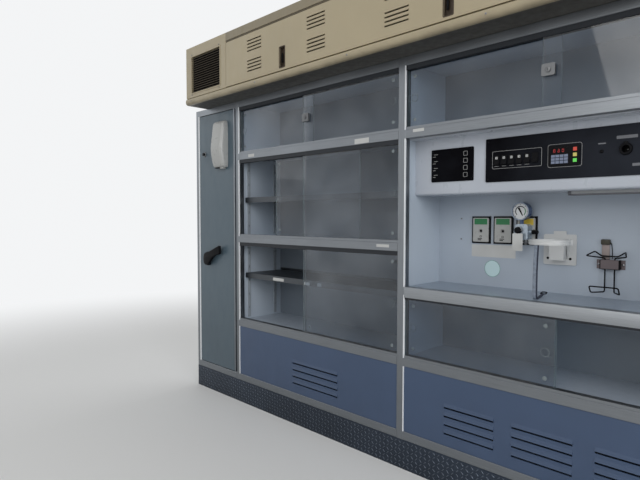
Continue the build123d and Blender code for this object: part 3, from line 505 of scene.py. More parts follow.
# A closed turned form. Each profile point is (radius, distance along the axis)
# A profile that reaches the axis is closed by a flat end, and any other by its first point
def addTurned(bm, profile, centre, steps, axis=(0, -1, 0)):
    direction = Vector(axis).normalized()
    side = direction.orthogonal().normalized()
    centre = Vector(centre)
    points = list(profile)
    reaches = [radius == 0 for radius, along in (points[0], points[-1])]
    if any(reaches) and not all(reaches):
        if reaches[0]:
            points.append((0, points[-1][1]))
        else:
            points.insert(0, (0, points[0][1]))
    known = set(bm.verts)
    verts = [bm.verts.new(centre + direction * along + side * radius) for radius, along in points]
    edges = [bm.edges.new(pair) for pair in zip(verts, verts[1:])]
    if not any(reaches):
        edges.append(bm.edges.new((verts[-1], verts[0])))
    bmesh.ops.spin(bm, geom=verts + edges, cent=centre, axis=direction, dvec=(0, 0, 0),
                   angle=2 * math.pi, steps=steps, use_merge=True)
    bmesh.ops.remove_doubles(bm, verts=[vert for vert in bm.verts if vert not in known], dist=0.001)


# A route with its corners rounded
def roundedRoute(points, radius, steps=5):
    points = [Vector(point) for point in points]
    route = [points[0]]
    for before, corner, after in zip(points, points[1:], points[2:]):
        reach = min(radius, (before - corner).length / 2, (after - corner).length / 2)
        start = corner + (before - corner).normalized() * reach
        end = corner + (after - corner).normalized() * reach
        for step in range(steps + 1):
            share = step / steps
            route.append(start.lerp(corner, share).lerp(corner.lerp(end, share), share))
    route.append(points[-1])
    return route


# Sweeps a closed section, given as (side, up) pairs, along a route
def addSweep(bm, route, section, closed=False, startSide=(1, 0, 0)):
    side = Vector(startSide)
    rings = []
    count = len(route)
    for index, point in enumerate(route):
        before = route[index - 1] if index or closed else route[0]
        after = route[(index + 1) % count] if index + 1 < count or closed else route[-1]
        along = (after - before).normalized()
        side = (side - along * side.dot(along)).normalized()
        up = along.cross(side)
        rings.append([bm.verts.new(point + side * a + up * b) for a, b in section])
    addRings(bm, rings + rings[:1] if closed else rings, not closed)


def roundSection(radius, sides=14):
    turns = [2 * math.pi * step / sides for step in range(sides)]
    return [(radius * math.cos(turn), radius * math.sin(turn)) for turn in turns]


def finishPiece(name, bm, finish, slot, body="cabinet", smooth=True, replaces=()):
    bmesh.ops.scale(bm, vec=(mm, mm, mm), verts=bm.verts)
    bmesh.ops.recalc_face_normals(bm, faces=bm.faces)
    mesh = bpy.data.meshes.new(name)
    bm.to_mesh(mesh)
    bm.free()
    if smooth:
        mesh.shade_smooth()
        mesh.set_sharp_from_angle(angle=math.radians(35))
    mesh.materials.append(finishes[finish])
    piece = bpy.data.objects.new(name, mesh)
    bpy.context.scene.collection.objects.link(piece)
    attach(piece, body)
    if replaces:
        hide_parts(*replaces)


# A piece of one shape: the function that adds it, and what that function is given after the bmesh
def makePiece(name, finish, slot, add, *shape, **ways):
    bm = bmesh.new()
    add(bm, *shape)
    finishPiece(name, bm, finish, slot, **ways)


# Kick plate: raised lozenges in alternating rows, lighter than the plate: worn tops and painted highlight
tread = {"pitch": 19.0, "rowPitch": 15.0, "halfLength": 7.2, "halfWidth": 2.1, "height": 1.1, "margin": 8.0,
         "tilt": 45, "topShare": 0.6}


def makeTread():
    kick = spanOf("kick_plate")
    bm = bmesh.new()
    rows = int((kick.z1 - kick.z0 - tread["margin"]) // tread["rowPitch"])
    columns = int((kick.x1 - kick.x0 - tread["margin"]) // tread["pitch"])
    flat = Matrix.Rotation(math.radians(90), 4, "X")
    lozenge = Matrix.Diagonal((tread["halfLength"], tread["halfWidth"], 1, 1))
    startX = kick.x - (columns - 1) * tread["pitch"] / 2
    startZ = kick.z - (rows - 1) * tread["rowPitch"] / 2
    for row in range(rows):
        for column in range(columns):
            tilt = tread["tilt"] if (row + column) % 2 else -tread["tilt"]
            place = Matrix.Translation((startX + column * tread["pitch"], kick.y0 - tread["height"] / 2,
                                        startZ + row * tread["rowPitch"]))
            matrix = place @ flat @ Matrix.Rotation(math.radians(tilt), 4, "Z") @ lozenge
            bmesh.ops.create_cone(bm, cap_ends=True, cap_tris=False, segments=8, radius1=1.0,
                                  radius2=tread["topShare"], depth=tread["height"], matrix=matrix)
    finishPiece("treadLozenges", bm, "treadWorn", "tread_plate", smooth=False)


makeTread()
print("kick plate's tread made")


# Felt on the jambs, where the panes stop, and painted light: a bright strip on the side of each post that faces the
# front end
# Widths of the strip's turned edge on the front of the posts, from the rear end of the unit forwards
jamb = {"felt": 0.7, "feltReach": 4.0, "strip": 0.5, "stripDepth": 6.0, "stripEdges": (9.0, 3.0, 3.0), "lap": 0.1}


def makeJambs():
    upper = solidsOf("upper_tracks")
    felts = bmesh.new()
    for track in solidsOf("lower_tracks"):
        top = min(above.z1 for above in upper if abs(above.x0 - track.x0) < 2 and above.z0 > track.z0)
        for x, inward in ((track.x0, 1), (track.x1, -1)):
            edges = sorted((x, x + inward * jamb["felt"]))
            addBox(felts, *edges, track.y1, track.y1 + jamb["feltReach"], track.z0, top)
    finishPiece("jambFelts", felts, "blackPlastic", "black_plastic", smooth=False)
    # Bright strips: painted light on the posts' lit side
    strips = bmesh.new()
    bars = solidsOf("frame_rails") + solidsOf("counter_nosing")
    for post, edge in zip(solidsOf("frame_posts"), jamb["stripEdges"]):
        levels = sorted((bar for bar in bars if abs(bar.x0 - post.x1) < 2), key=lambda bar: bar.z0)
        front = post.y0 - jamb["strip"]
        for below, above in zip(levels, levels[1:]):
            for x0, x1, back in ((post.x1, post.x1 + jamb["strip"], post.y0 + jamb["stripDepth"]),
                                 (post.x1 - edge, post.x1 + jamb["lap"], post.y0)):
                addBox(strips, x0, x1, front, back, below.z1, above.z0)
    finishPiece("litPostStrips", strips, "jambBright", "frame_metal", smooth=False)


# Dark strips behind the slots of the shelf standards: painted shade in the slots
slotShadeSet = {"near": 0.3, "far": 0.9, "halfWidth": 4.5, "inset": 4.0}


def makeSlotShades():
    bm = bmesh.new()
    middle = spanOf("shelf_standards").x
    half, inset = slotShadeSet["halfWidth"], slotShadeSet["inset"]
    for strip in solidsOf("shelf_standards"):
        wall, inward = (strip.x0, 1) if strip.x < middle else (strip.x1, -1)
        edges = sorted((wall + inward * slotShadeSet["near"], wall + inward * slotShadeSet["far"]))
        addBox(bm, *edges, strip.y - half, strip.y + half, strip.z0 + inset, strip.z1 - inset)
    finishPiece("slotShades", bm, "webShadow", "black_plastic", smooth=False)


# Blank label strips on the fronts of four nodes. Columns: left, right, bottom, top
# Round blank sticker under the outlets: middle, radius, and the profile of its rim
labels = {"thickness": 0.4, "corner": 1.5,
          "blankLabels": {"frame_rails": ((-780, -733, 1262, 1276), (-73, 2, 1257, 1277), (43, 105, 845, 856),
                                          (211, 259, 1273, 1284)),
                          "recess_wall": ((317, 493, 810, 857),),
                          "shelves": ((-640, -560, 650, 664), (-420, -380, 648, 662), (-330, -304, 648, 664))},
          "panelLabels": {"control_panel": ((817, 838, 1176.5, 1180), (866, 920, 1187, 1196),
                                            (908, 940, 1107, 1115))},
          "disc": (403, 767), "discRadius": 30.5, "discRim": ((31.6, 0), (31.6, 0.6), (29.8, 0.6), (29.8, 0))}


def makeLabels():
    for name, finish in (("blankLabels", "labelWhite"), ("panelLabels", "etchGrey")):
        bm = bmesh.new()
        for node, rows in labels[name].items():
            face = spanOf(node).y0
            for edges in rows:
                addPlate(bm, roundedOutline(*edges, labels["corner"], 3), face - labels["thickness"], face)
        finishPiece(name, bm, finish, "white_plastic")
    wall = spanOf("recess_wall").y0
    x, z = labels["disc"]
    makePiece("blankDisc", "discWhite", "white_plastic", addDisc, x, z, wall - labels["thickness"], wall,
              labels["discRadius"], None, 48)
    makePiece("blankDiscRim", "discRing", "white_plastic", addTurned, labels["discRim"], (x, wall, z), 48)


makeJambs()
makeSlotShades()
makeLabels()
print("jambs and labels made")


# Screws with a cross recess, in grids. The recess is drawn as a black cross: painted shade
# Columns: piece, node that carries them, its distance from their foot, places along X and along Z, head radius
screws = {"height": 2.2, "armShare": 0.55, "armHalf": 0.35, "armRise": 0.05, "armDepth": 0.3,
          "grids": (("screwHeads", "recess_wall", 0, (271,), (956, 876), 3.2),
                    ("screwHeads", "recess_wall", 2.0, (774, 846), (809,), 4.0),
                    ("screwHeads", "overhead_lip", 0, (-1100, -560, 0, 560, 1100), (1571,), 3.4),
                    ("screwHeads", "duct_grilles", 0, (-1094, -846, 898, 1147), (1600, 1806), 3.0),
                    ("darkScrewHeads", "bracket_plate", 0, (611, 686), (820,), 4.4),
                    ("darkScrewHeads", "control_panel", 0, (471, 1152), (1091, 1218), 3.0),
                    ("darkScrewHeads", "control_panel", 0, (251, 408), (1098, 1203), 2.6))}


def makeScrews():
    heads = {"screwHeads": bmesh.new(), "darkScrewHeads": bmesh.new()}
    recesses = bmesh.new()
    h, half = screws["height"], screws["armHalf"]
    for name, node, standoff, columns, rows, radius in screws["grids"]:
        face = spanOf(node).y0 - standoff
        tip = face - h
        arm = radius * screws["armShare"]
        profile = ((radius, 0), (radius, h * 0.35), (radius * 0.8, h * 0.8), (radius * 0.45, h), (0, h))
        for x, z in ((x, z) for x in columns for z in rows):
            addTurned(heads[name], profile, (x, face, z), 20)
            for wide, tall in ((arm, half), (half, arm)):
                addBox(recesses, x - wide, x + wide, tip - screws["armRise"], tip + screws["armDepth"],
                       z - tall, z + tall)
    finishPiece("screwHeads", heads["screwHeads"], "screwSteel", "lock_metal")
    finishPiece("darkScrewHeads", heads["darkScrewHeads"], "blackPlastic", "black_plastic")
    finishPiece("screwRecessShade", recesses, "blackPlastic", "black_plastic", smooth=False)


# Rivets on the back sheet, round its edge and along the lines of the posts
rivets = {"inset": 16.0, "pitch": 180.0, "radius": 7.0, "height": 2.0}


def makeRivets():
    sheet = spanOf("back_panel")
    inset, pitch, radius, height = rivets["inset"], rivets["pitch"], rivets["radius"], rivets["height"]
    posts = [post.x for post in solidsOf("frame_posts")][1:-1]
    rows = [sheet.z0 + inset, sheet.z1 - inset]
    columns = [sheet.x0 + inset, *posts, sheet.x1 - inset]
    steps = round((rows[1] - rows[0]) / pitch)
    places = [(x, rows[0] + (rows[1] - rows[0]) * step / steps) for x in columns for step in range(steps + 1)]
    for left, right in zip(columns, columns[1:]):
        steps = round((right - left) / pitch)
        places += [(left + (right - left) * step / steps, z) for z in rows for step in range(1, steps)]
    bm = bmesh.new()
    profile = ((radius, 0), (radius * 0.9, height * 0.5), (radius * 0.5, height * 0.9), (0, height))
    for x, z in places:
        addTurned(bm, profile, (x, sheet.y1, z), 16, (0, 1, 0))
    finishPiece("backRivets", bm, "screwSteel", "frame_metal")


makeScrews()
makeRivets()
print("screws made")


# Front of the console: outlines, and icons left as plain blocks
# Button bars: level, start, end. Rocker frame: margins at the left, right, bottom and top
console = {"line": 1.1, "proud": 0.5, "rockerFrame": (6, 12, 14, 15), "displayFrame": 5, "buttons": 4,
           "buttonPitch": 25, "buttonBars": ((-4, 8, 19), (4, 12, 28)), "iconDepth": 0.3, "rockerProud": 2.0}


def makeConsoleFront():
    face = spanOf("control_panel").y0
    plate = spanOf("switch_plate")
    rockers = solidsOf("rocker_switches")
    onPanel = (face - console["proud"], face)
    onPlate = (plate.y0 - console["proud"], plate.y0)
    lines = bmesh.new()
    left, right, bottom, top = console["rockerFrame"]
    addOutlineFrame(lines, rockers[0].x0 - left, rockers[-1].x1 + right, rockers[0].z0 - bottom,
                    rockers[0].z1 + top, 4, console["line"], *onPanel)
    addOutlineFrame(lines, *spanOf("display_unit").grown(console["displayFrame"]), 7, console["line"], *onPanel)
    for rocker in rockers[:-1]:
        addBox(lines, rocker.x0 + 2, rocker.x1 - 2, *onPanel, rocker.z0 - 6, rocker.z0 - 5)
    for button in range(console["buttons"]):
        z = plate.z + (button - (console["buttons"] - 1) / 2) * console["buttonPitch"]
        addOutlineFrame(lines, plate.x1 - 38, plate.x1 - 22, z - 8, z + 8, 2.5, 1.3, *onPlate)
        for level, start, end in console["buttonBars"]:
            addBox(lines, plate.x0 + start, plate.x0 + end, *onPlate, z + level - 0.8, z + level + 0.8)
    finishPiece("consoleLines", lines, "lineGrey", "white_plastic")
    icons = bmesh.new()
    front = face - console["rockerProud"]
    depth = (front - console["iconDepth"], front)
    for index, rocker in enumerate(rockers[:-1]):
        top = rocker.z1 - 4
        blockX = rocker.x - 2.5 + index % 3
        addOutlineFrame(icons, rocker.x - 4, rocker.x + 4, top - 8, top, 1.5, 1.6, *depth)
        addBox(icons, blockX, blockX + 3, *depth, top - 5.5, top - 2.5)
    finishPiece("rockerIcons", icons, "labelWhite", "white_plastic", smooth=False)


# Display: dark screen with three lit digits, a pad of small keys and three coloured buttons
displaySet = {"margin": 7.0, "screenWidth": 52.0, "screenHeight": 18.0, "screenDepth": 2.0, "digitHeight": 9.5,
              "digitPitch": 13.0, "padColumns": 4, "padRows": 3, "padGap": 1.6, "padHeight": 1.0,
              "keys": (("greenKey", "keyGreen"), ("yellowKey", "keyYellow"), ("redKey", "keyRed")),
              "keySize": 11.0, "keyPitch": 17.0}

# Bars of a seven-bar digit: left, right, bottom, top as shares of its width and height
digitBars = {"top": (0, 1, 1, 1), "middle": (0, 1, 0.5, 0.5), "bottom": (0, 1, 0, 0), "upperLeft": (0, 0, 0.5, 1),
             "upperRight": (1, 1, 0.5, 1), "lowerLeft": (0, 0, 0, 0.5), "lowerRight": (1, 1, 0, 0.5)}


def addDigit(bm, x, z, y, height, dark):
    width = height * 0.5
    t = height * 0.13
    for name, (x0, x1, z0, z1) in digitBars.items():
        if name != dark:
            # Bars stop short of each other at the corners
            alongEnd, acrossEnd = (-0.6 * t, t / 2) if x0 != x1 else (t / 2, -0.6 * t)
            addBox(bm, x + x0 * width - alongEnd, x + x1 * width + alongEnd, y - 0.2, y,
                   z + z0 * height - acrossEnd, z + z1 * height + acrossEnd)


def makeDisplay():
    unit = spanOf("display_unit")
    margin = displaySet["margin"]
    proud = unit.y0 + 1.5
    left = unit.x0 + margin
    bottom = unit.z1 - margin - displaySet["screenHeight"]
    lit = bmesh.new()
    for index, dark in enumerate((None, "upperLeft", "middle")):
        addDigit(lit, left + 7 + index * displaySet["digitPitch"], bottom + 4, proud + displaySet["screenDepth"],
                 displaySet["digitHeight"], dark)
    finishPiece("displayDigits", lit, "screenRed", "black_plastic", smooth=False)
    pad = bmesh.new()
    padBottom = unit.z0 + margin - 2
    width = displaySet["screenWidth"] / displaySet["padColumns"]
    height = (bottom - 3 - padBottom) / displaySet["padRows"]
    gap = displaySet["padGap"] / 2
    for row in range(displaySet["padRows"]):
        for column in range(displaySet["padColumns"]):
            x, z = left + column * width, padBottom + row * height
            addBox(pad, x + gap, x + width - gap, proud - displaySet["padHeight"], proud, z + gap, z + height - gap,
                   0.4)
    finishPiece("displayKeys", pad, "keyGrey", "black_plastic", smooth=False)
    size = displaySet["keySize"]
    x = unit.x1 - margin - 11.5
    for index, (name, finish) in enumerate(displaySet["keys"]):
        z = unit.z0 + margin + index * displaySet["keyPitch"] + 0.5
        makePiece(name, finish, "black_plastic", addBox, x, x + size, unit.y0 - 0.8, unit.y0 + 0.2, z, z + size, 0.4,
                  smooth=False)


# Power socket: turned collar and body, open to its contact, in place of the faceted CAD socket
# Contact and lens: profiles from the bottom of the bore and from the panel
socketSet = {"wall": 15.0, "collar": 16.5, "proud": 6.0, "depth": 30.0, "bore": 10.5, "boreDepth": 27.0,
             "contact": ((2.2, -1), (2.2, 5), (0, 6)), "indicator": (827, 1155),
             "lens": ((0, 3.5), (3.0, 3.0), (4.6, 1.6), (5.4, 0))}


def makeSocket():
    socket = spanOf("power_socket")
    front, wall, collar, bore = socket.y0, socketSet["wall"], socketSet["collar"], socketSet["bore"]
    back, shoulder, floor = -socketSet["depth"], -socketSet["proud"], -socketSet["boreDepth"]
    bm = bmesh.new()
    profile = ((0, back), (wall, back), (wall, shoulder), (collar + 1, shoulder), (collar + 1, -4.0), (collar, -1.2),
               (collar - 1.2, 0), (bore + 0.6, 0), (bore, -0.8), (bore, floor), (0, floor))
    addTurned(bm, profile, (socket.x, front, socket.z), 48)
    addBox(bm, socket.x - 6, socket.x + 6, front - 1.0, front + 5, socket.z + 12, socket.z + 21, 1.5)
    finishPiece("socketBody", bm, "blackPlastic", "black_plastic", replaces=("power_socket",))
    makePiece("socketContact", "satinChrome", "black_plastic", addTurned, socketSet["contact"],
              (socket.x, front - floor, socket.z), 20)
    x, z = socketSet["indicator"]
    makePiece("indicatorLens", "blackPlastic", "black_plastic", addTurned, socketSet["lens"],
              (x, spanOf("control_panel").y0, z), 24)


# Console lamp: grey end caps and a grey rim round its lens
lamp = {"cap": 10.0, "rim": 2.0, "drop": 1.5, "over": 0.5}


def makeLamp():
    body = spanOf("console_lamp")
    bm = bmesh.new()
    drop, over = body.z0 - lamp["drop"], lamp["over"]
    y0, y1 = body.y0 - over, body.y1 + over
    for x in (body.x0, body.x1 - lamp["cap"]):
        addBox(bm, x - over, x + lamp["cap"] + over, y0, y1, drop, body.z1, 1.0)
    for y in (y0, y1 - lamp["rim"]):
        addBox(bm, body.x0 + 4, body.x1 - 4, y, y + lamp["rim"], drop, body.z0 + 3, 0.4)
    finishPiece("lampRim", bm, "etchGrey", "black_plastic")


# Filler strip that closes the joint from the top of the console to the rail over it
filler = {"thickness": 3.0, "lap": 1.0, "rise": 0.5}


def makeFiller():
    shell = spanOf("console_shell")
    makePiece("consoleFiller", "consolePaint", "console_paint", addBox, shell.x0, shell.x1,
              spanOf("frame_rails").y1 - filler["lap"], shell.y0 + filler["lap"], shell.z1 - filler["thickness"],
              shell.z1 + filler["rise"], smooth=False)


makeConsoleFront()
makeDisplay()
makeSocket()
makeLamp()
makeFiller()
print("console details made")


# Nosing: a rounded cover that hides the joint between the nosing and the track under it
# Outline of the cover: (y, z) from the lower front corner of the counter's top edge
nosing = {"inset": 0.2, "outline": ((2.6, -39.5), (-1.2, -39.5), (-1.2, -2.4), (-0.3, -0.6), (1.5, 0.7), (28, 0.7),
                                    (28, 0.1), (0, 0.1), (0, -31), (2.6, -31))}


def makeNosing():
    bar = spanOf("counter_nosing")
    corners = [(bar.x0 + nosing["inset"], bar.y0 + y, bar.z1 + z) for y, z in nosing["outline"]]
    makePiece("nosingCover", "nosingMetal", "frame_metal", addPrism, corners,
              (bar.x1 - bar.x0 - 2 * nosing["inset"], 0, 0))


# Outlet plates: white faces with a coloured strip, a probe hole with its shutter, and plain marks; the dark dot in the
# hole is painted shade
# Marks: left and right of the middle, bottom and top from the plate's foot
outlets = {"proud": 0.8, "rim": 2.5, "margin": 6.0, "hole": 8.0, "dot": 4.6, "holeDrop": 4.0, "stripHeight": 22.0,
           "marks": ((-12, 6, 11, 13.5), (-12, 2, 5.5, 8.5))}


def makeOutletFaces():
    solids = solidsOf("gas_outlets")
    plates, green, yellow, shutters, dark = (bmesh.new() for index in range(5))
    hole = outlets["hole"]
    for outlet in solids:
        x0, x1, z0, z1 = outlet.grown(-outlets["margin"])
        front = outlet.y0 - outlets["proud"]
        holeZ = outlet.z - outlets["holeDrop"]
        outer = roundedOutline(x0, x1, z0, z1, 3.0, 8)
        inner = [(outlet.x + x, holeZ + z) for x, z in roundSection(hole, len(outer))]
        addFrame(plates, outer, inner, front, front + outlets["proud"] + outlets["rim"])
        addBox(yellow if outlet is solids[-1] else green, x0 + 6, x1 - 6, front - 0.4, front,
               z1 - outlets["stripHeight"] - 3, z1 - 3)
        addOutlineFrame(dark, outlet.x - 4, outlet.x + 4, z0 + 17, z0 + 24, 1.5, 1.3, front - 0.3, front)
        for left, right, bottom, top in outlets["marks"]:
            addBox(dark, outlet.x + left, outlet.x + right, front - 0.3, front, z0 + bottom, z0 + top)
        addDisc(shutters, outlet.x, holeZ, outlet.y0 + 1.2, outlet.y0 + 1.8, hole + 1)
        addDisc(dark, outlet.x, holeZ, outlet.y0 + 0.8, outlet.y0 + 1.3, outlets["dot"])
    finishPiece("outletPlates", plates, "whitePlastic", "white_plastic")
    finishPiece("outletGreen", green, "oxygenGreen", "white_plastic", smooth=False)
    finishPiece("outletYellow", yellow, "vacuumYellow", "white_plastic", smooth=False)
    finishPiece("outletShutters", shutters, "lineGrey", "white_plastic")
    finishPiece("outletMarksAndBoreShade", dark, "blackPlastic", "black_plastic")


# Vacuum gauge: dial with two scales, a needle, and a rim with a hoop
gauge = {"rim": 2.6, "dialDepth": 3.4, "needleAngle": 118.0, "ticks": 31, "start": 225.0, "sweep": 270.0,
         "arcShare": 0.60, "arcWidth": 3.0, "arcSplit": 0.69, "arcGap": 2.0, "markDepth": 0.2}


# A straight mark on the dial, from one radius to another, which may widen outwards
def addDialBar(bm, centre, degrees, inner, outer, half, outerHalf=None):
    angle = math.radians(degrees)
    wide = outerHalf or half
    points = [(centre.x + reach * math.cos(angle) - side * math.sin(angle),
               centre.z + reach * math.sin(angle) + side * math.cos(angle))
              for reach, side in ((inner, -half), (outer, -wide), (outer, wide), (inner, half))]
    addPlate(bm, points, centre.y - gauge["markDepth"], centre.y)


# A curved mark on the dial, from one angle to another
def addDialArc(bm, centre, first, last, inner, outer):
    steps = max(2, round(abs(first - last) / 6))
    turns = [math.radians(first + (last - first) * step / steps) for step in range(steps + 1)]
    points = [(centre.x + reach * math.cos(turn), centre.z + reach * math.sin(turn))
              for reach, row in ((outer, turns), (inner, turns[::-1])) for turn in row]
    addPlate(bm, points, centre.y - gauge["markDepth"], centre.y)


def makeGaugeFace():
    case = spanOf("vacuum_gauge")
    radius = (case.x1 - case.x0) / 2
    recess = radius - gauge["rim"]
    centre = Vector((case.x, case.y0 + gauge["dialDepth"], case.z1 - radius))
    makePiece("gaugeDial", "dialWhite", "gauge_case", addDisc, centre.x, centre.z, centre.y, centre.y + 0.5,
              recess - 0.3, None, 64)
    marks = bmesh.new()
    for tick in range(gauge["ticks"]):
        degrees = gauge["start"] - tick * gauge["sweep"] / (gauge["ticks"] - 1)
        inner, half = (0.84, 0.45) if tick % 5 else (0.76, 0.8)
        addDialBar(marks, centre, degrees, recess * inner, recess * 0.93, half)
    low = bmesh.new()
    middle = recess * gauge["arcShare"]
    edges = (middle - gauge["arcWidth"] / 2, middle + gauge["arcWidth"] / 2)
    split = gauge["start"] - gauge["sweep"] * gauge["arcSplit"]
    addDialArc(marks, centre, gauge["start"], split + gauge["arcGap"], *edges)
    addDialArc(low, centre, split - gauge["arcGap"], gauge["start"] - gauge["sweep"], *edges)
    addDialBar(marks, centre - Vector((0, 0.7, 0)), gauge["needleAngle"], -0.6 * recess, 0.5 * recess, 1.5, 3.6)
    addDisc(marks, centre.x, centre.z, centre.y - 1.2, centre.y - 0.2, 3.2, 2.6, 24)
    finishPiece("gaugeMarks", marks, "blackPlastic", "black_plastic", smooth=False)
    finishPiece("gaugeLowRange", low, "oxygenGreen", "gauge_case", smooth=False)
    rim = ((radius + 0.4, -6), (radius + 0.4, 0.4), (radius - 1.2, 1.2), (recess + 0.2, 1.2), (recess - 0.6, 0.2),
           (recess - 0.6, -3.2))
    hoop = ((recess - 0.4, 1.3), (recess - 0.4, 1.7), (recess + 1.6, 1.7), (recess + 1.6, 1.1))
    for name, finish, profile in (("gaugeRim", "gaugeBlue", rim), ("gaugeHoop", "regulatorMetal", hoop)):
        makePiece(name, finish, "gauge_case", addTurned, profile, (centre.x, case.y0, centre.z), 64)


# Regulator: fluted knob, side fitting with its hose barb, and a blank tag on a loop of cord
# Each ring of the knob: share of its length from the body, share of its radius
regulator = {"flutes": 10, "flute": 0.05, "stepsPerFlute": 6,
             "knobRings": ((0, 0.82), (0.08, 0.94), (0.3, 1.0), (0.72, 1.0), (0.88, 0.95), (0.96, 0.86), (1.0, 0.7)),
             "fitting": ((7.5, 0), (7.5, 10), (6.0, 12), (4.5, 12), (4.5, 19), (0, 19)), "fittingPlace": 30.0,
             "barb": ((6.2, -14), (7.6, -14), (7.6, -4), (6.2, -3), (7.2, 0), (6.2, 2), (7.0, 4), (5.2, 7), (0, 7)),
             "tagHalfWidth": 18.5, "tagHeight": 70.0, "tagThickness": 0.8, "tagShift": 1.0, "tie": 0.6}


def makeRegulator():
    knob = spanOf("regulator_knob")
    knobRadius = (knob.z1 - knob.z0) / 2
    bm = bmesh.new()
    rings = []
    for along, share in regulator["knobRings"]:
        y = knob.y1 - along * (knob.y1 - knob.y0)
        ring = []
        for x, z in roundSection(1.0, regulator["flutes"] * regulator["stepsPerFlute"]):
            wave = 0.5 + 0.5 * math.cos(regulator["flutes"] * math.atan2(z, x))
            radius = knobRadius * share * (1 - regulator["flute"] * wave)
            ring.append(bm.verts.new((knob.x + radius * x, y, knob.z + radius * z)))
        rings.append(ring)
    addRings(bm, rings, True)
    finishPiece("flutedKnob", bm, "blackPlastic", "black_plastic", replaces=("regulator_knob",))
    body = spanOf("regulator_body")
    makePiece("regulatorFittings", "satinChrome", "regulator_metal", addTurned, regulator["fitting"],
              (body.x0 + regulator["fittingPlace"], body.y, body.z0), 28, (0, 0, -1))
    makePiece("hoseBarb", "blackPlastic", "regulator_metal", addTurned, regulator["barb"],
              (body.x1, body.y, body.z), 28, (1, 0, 0))
    top = knob.z - knobRadius + 9
    tagY = knob.y0 + 3
    middle, half = knob.x + regulator["tagShift"], regulator["tagHalfWidth"]
    makePiece("blankTag", "labelWhite", "white_plastic", addPlate,
              roundedOutline(middle - half, middle + half, top - regulator["tagHeight"], top - 8, 3, 4),
              tagY, tagY + regulator["tagThickness"])
    reach = knobRadius + 1
    # One side of the loop, from the tag to the top of the knob
    side = ((2, 1.4, top - 12), (reach * 0.6, 3, top), (reach, 5, knob.z), (reach * 0.7, 5, knob.z + reach * 0.8))
    points = [(knob.x - x, tagY + y, z) for x, y, z in side]
    points.append((knob.x, tagY + 5, knob.z + reach * 1.1))
    points += [(knob.x + x, tagY + y, z) for x, y, z in reversed(side)]
    makePiece("tagTie", "labelWhite", "white_plastic", addSweep, roundedRoute(points, 5),
              roundSection(regulator["tie"], 8), False, (0, 1, 0))


makeNosing()
makeOutletFaces()
makeGaugeFace()
makeRegulator()
print("outlets and regulator made")


# Canister bracket: rounded ring with two ridges, hinge ear, pocket gusset, and the strap that hangs from it
# Cheeks of the pocket: (y, z) from the front of the plate and the foot of the ring
bracket = {"ringInner": 56.0, "ringWall": 9.0, "ringHeight": 16.0, "ridge": 1.2, "ridgeLevels": (4, 12),
           "ear": ((0, 0), (5.5, 0), (5.5, 17), (4.5, 18), (0, 18)), "pin": ((0, 0), (2.6, 0), (2.6, 0.6), (0, 0.6)),
           "cheek": ((0, 14), (-24, 14), (-3, -50), (0, -50)), "cheekPlace": 28.0, "cheekWidth": 2.5,
           "strapWidth": 15.0, "strapThickness": 2.0, "strapLead": 20.0, "tailRise": 9.0, "tailShare": 0.72}


def makeBracket():
    ring = spanOf("canister_ring")
    outer = bracket["ringInner"] + bracket["ringWall"]
    centreY = ring.y0 + outer
    lowZ = ring.z1 - bracket["ringHeight"]
    upwards = (0, 0, 1)
    earX, earY = ring.x + outer - 2, centreY + 12
    bm = bmesh.new()
    inner, tip = outer - 0.5, outer + bracket["ridge"]
    for level in bracket["ridgeLevels"]:
        addTurned(bm, ((inner, -1.6), (tip, -0.8), (tip, 0.8), (inner, 1.6)), (ring.x, centreY, lowZ + level), 72,
                  upwards)
    addTurned(bm, bracket["ear"], (earX, earY, lowZ - 1), 28, upwards)
    finishPiece("ringRidges", bm, "ivoryPlastic", "white_plastic")
    makePiece("ringPin", "blackPlastic", "black_plastic", addTurned, bracket["pin"], (earX, earY, lowZ + 17), 20,
              upwards)
    cheeks = bmesh.new()
    face = spanOf("bracket_plate").y0
    for side in (-1, 1):
        corners = [(ring.x + side * bracket["cheekPlace"], face + y, lowZ + z) for y, z in bracket["cheek"]]
        addPrism(cheeks, corners, (side * bracket["cheekWidth"], 0, 0))
    finishPiece("pocketCheeks", cheeks, "ivoryPlastic", "white_plastic", smooth=False)


def strapSection(share):
    wide = bracket["strapWidth"] / 2 * share
    thick = bracket["strapThickness"] / 2
    return ((-wide, -thick * 0.7), (-wide * 0.9, -thick), (wide * 0.9, -thick), (wide, -thick * 0.7),
            (wide, thick * 0.7), (wide * 0.9, thick), (-wide * 0.9, thick), (-wide, thick * 0.7))


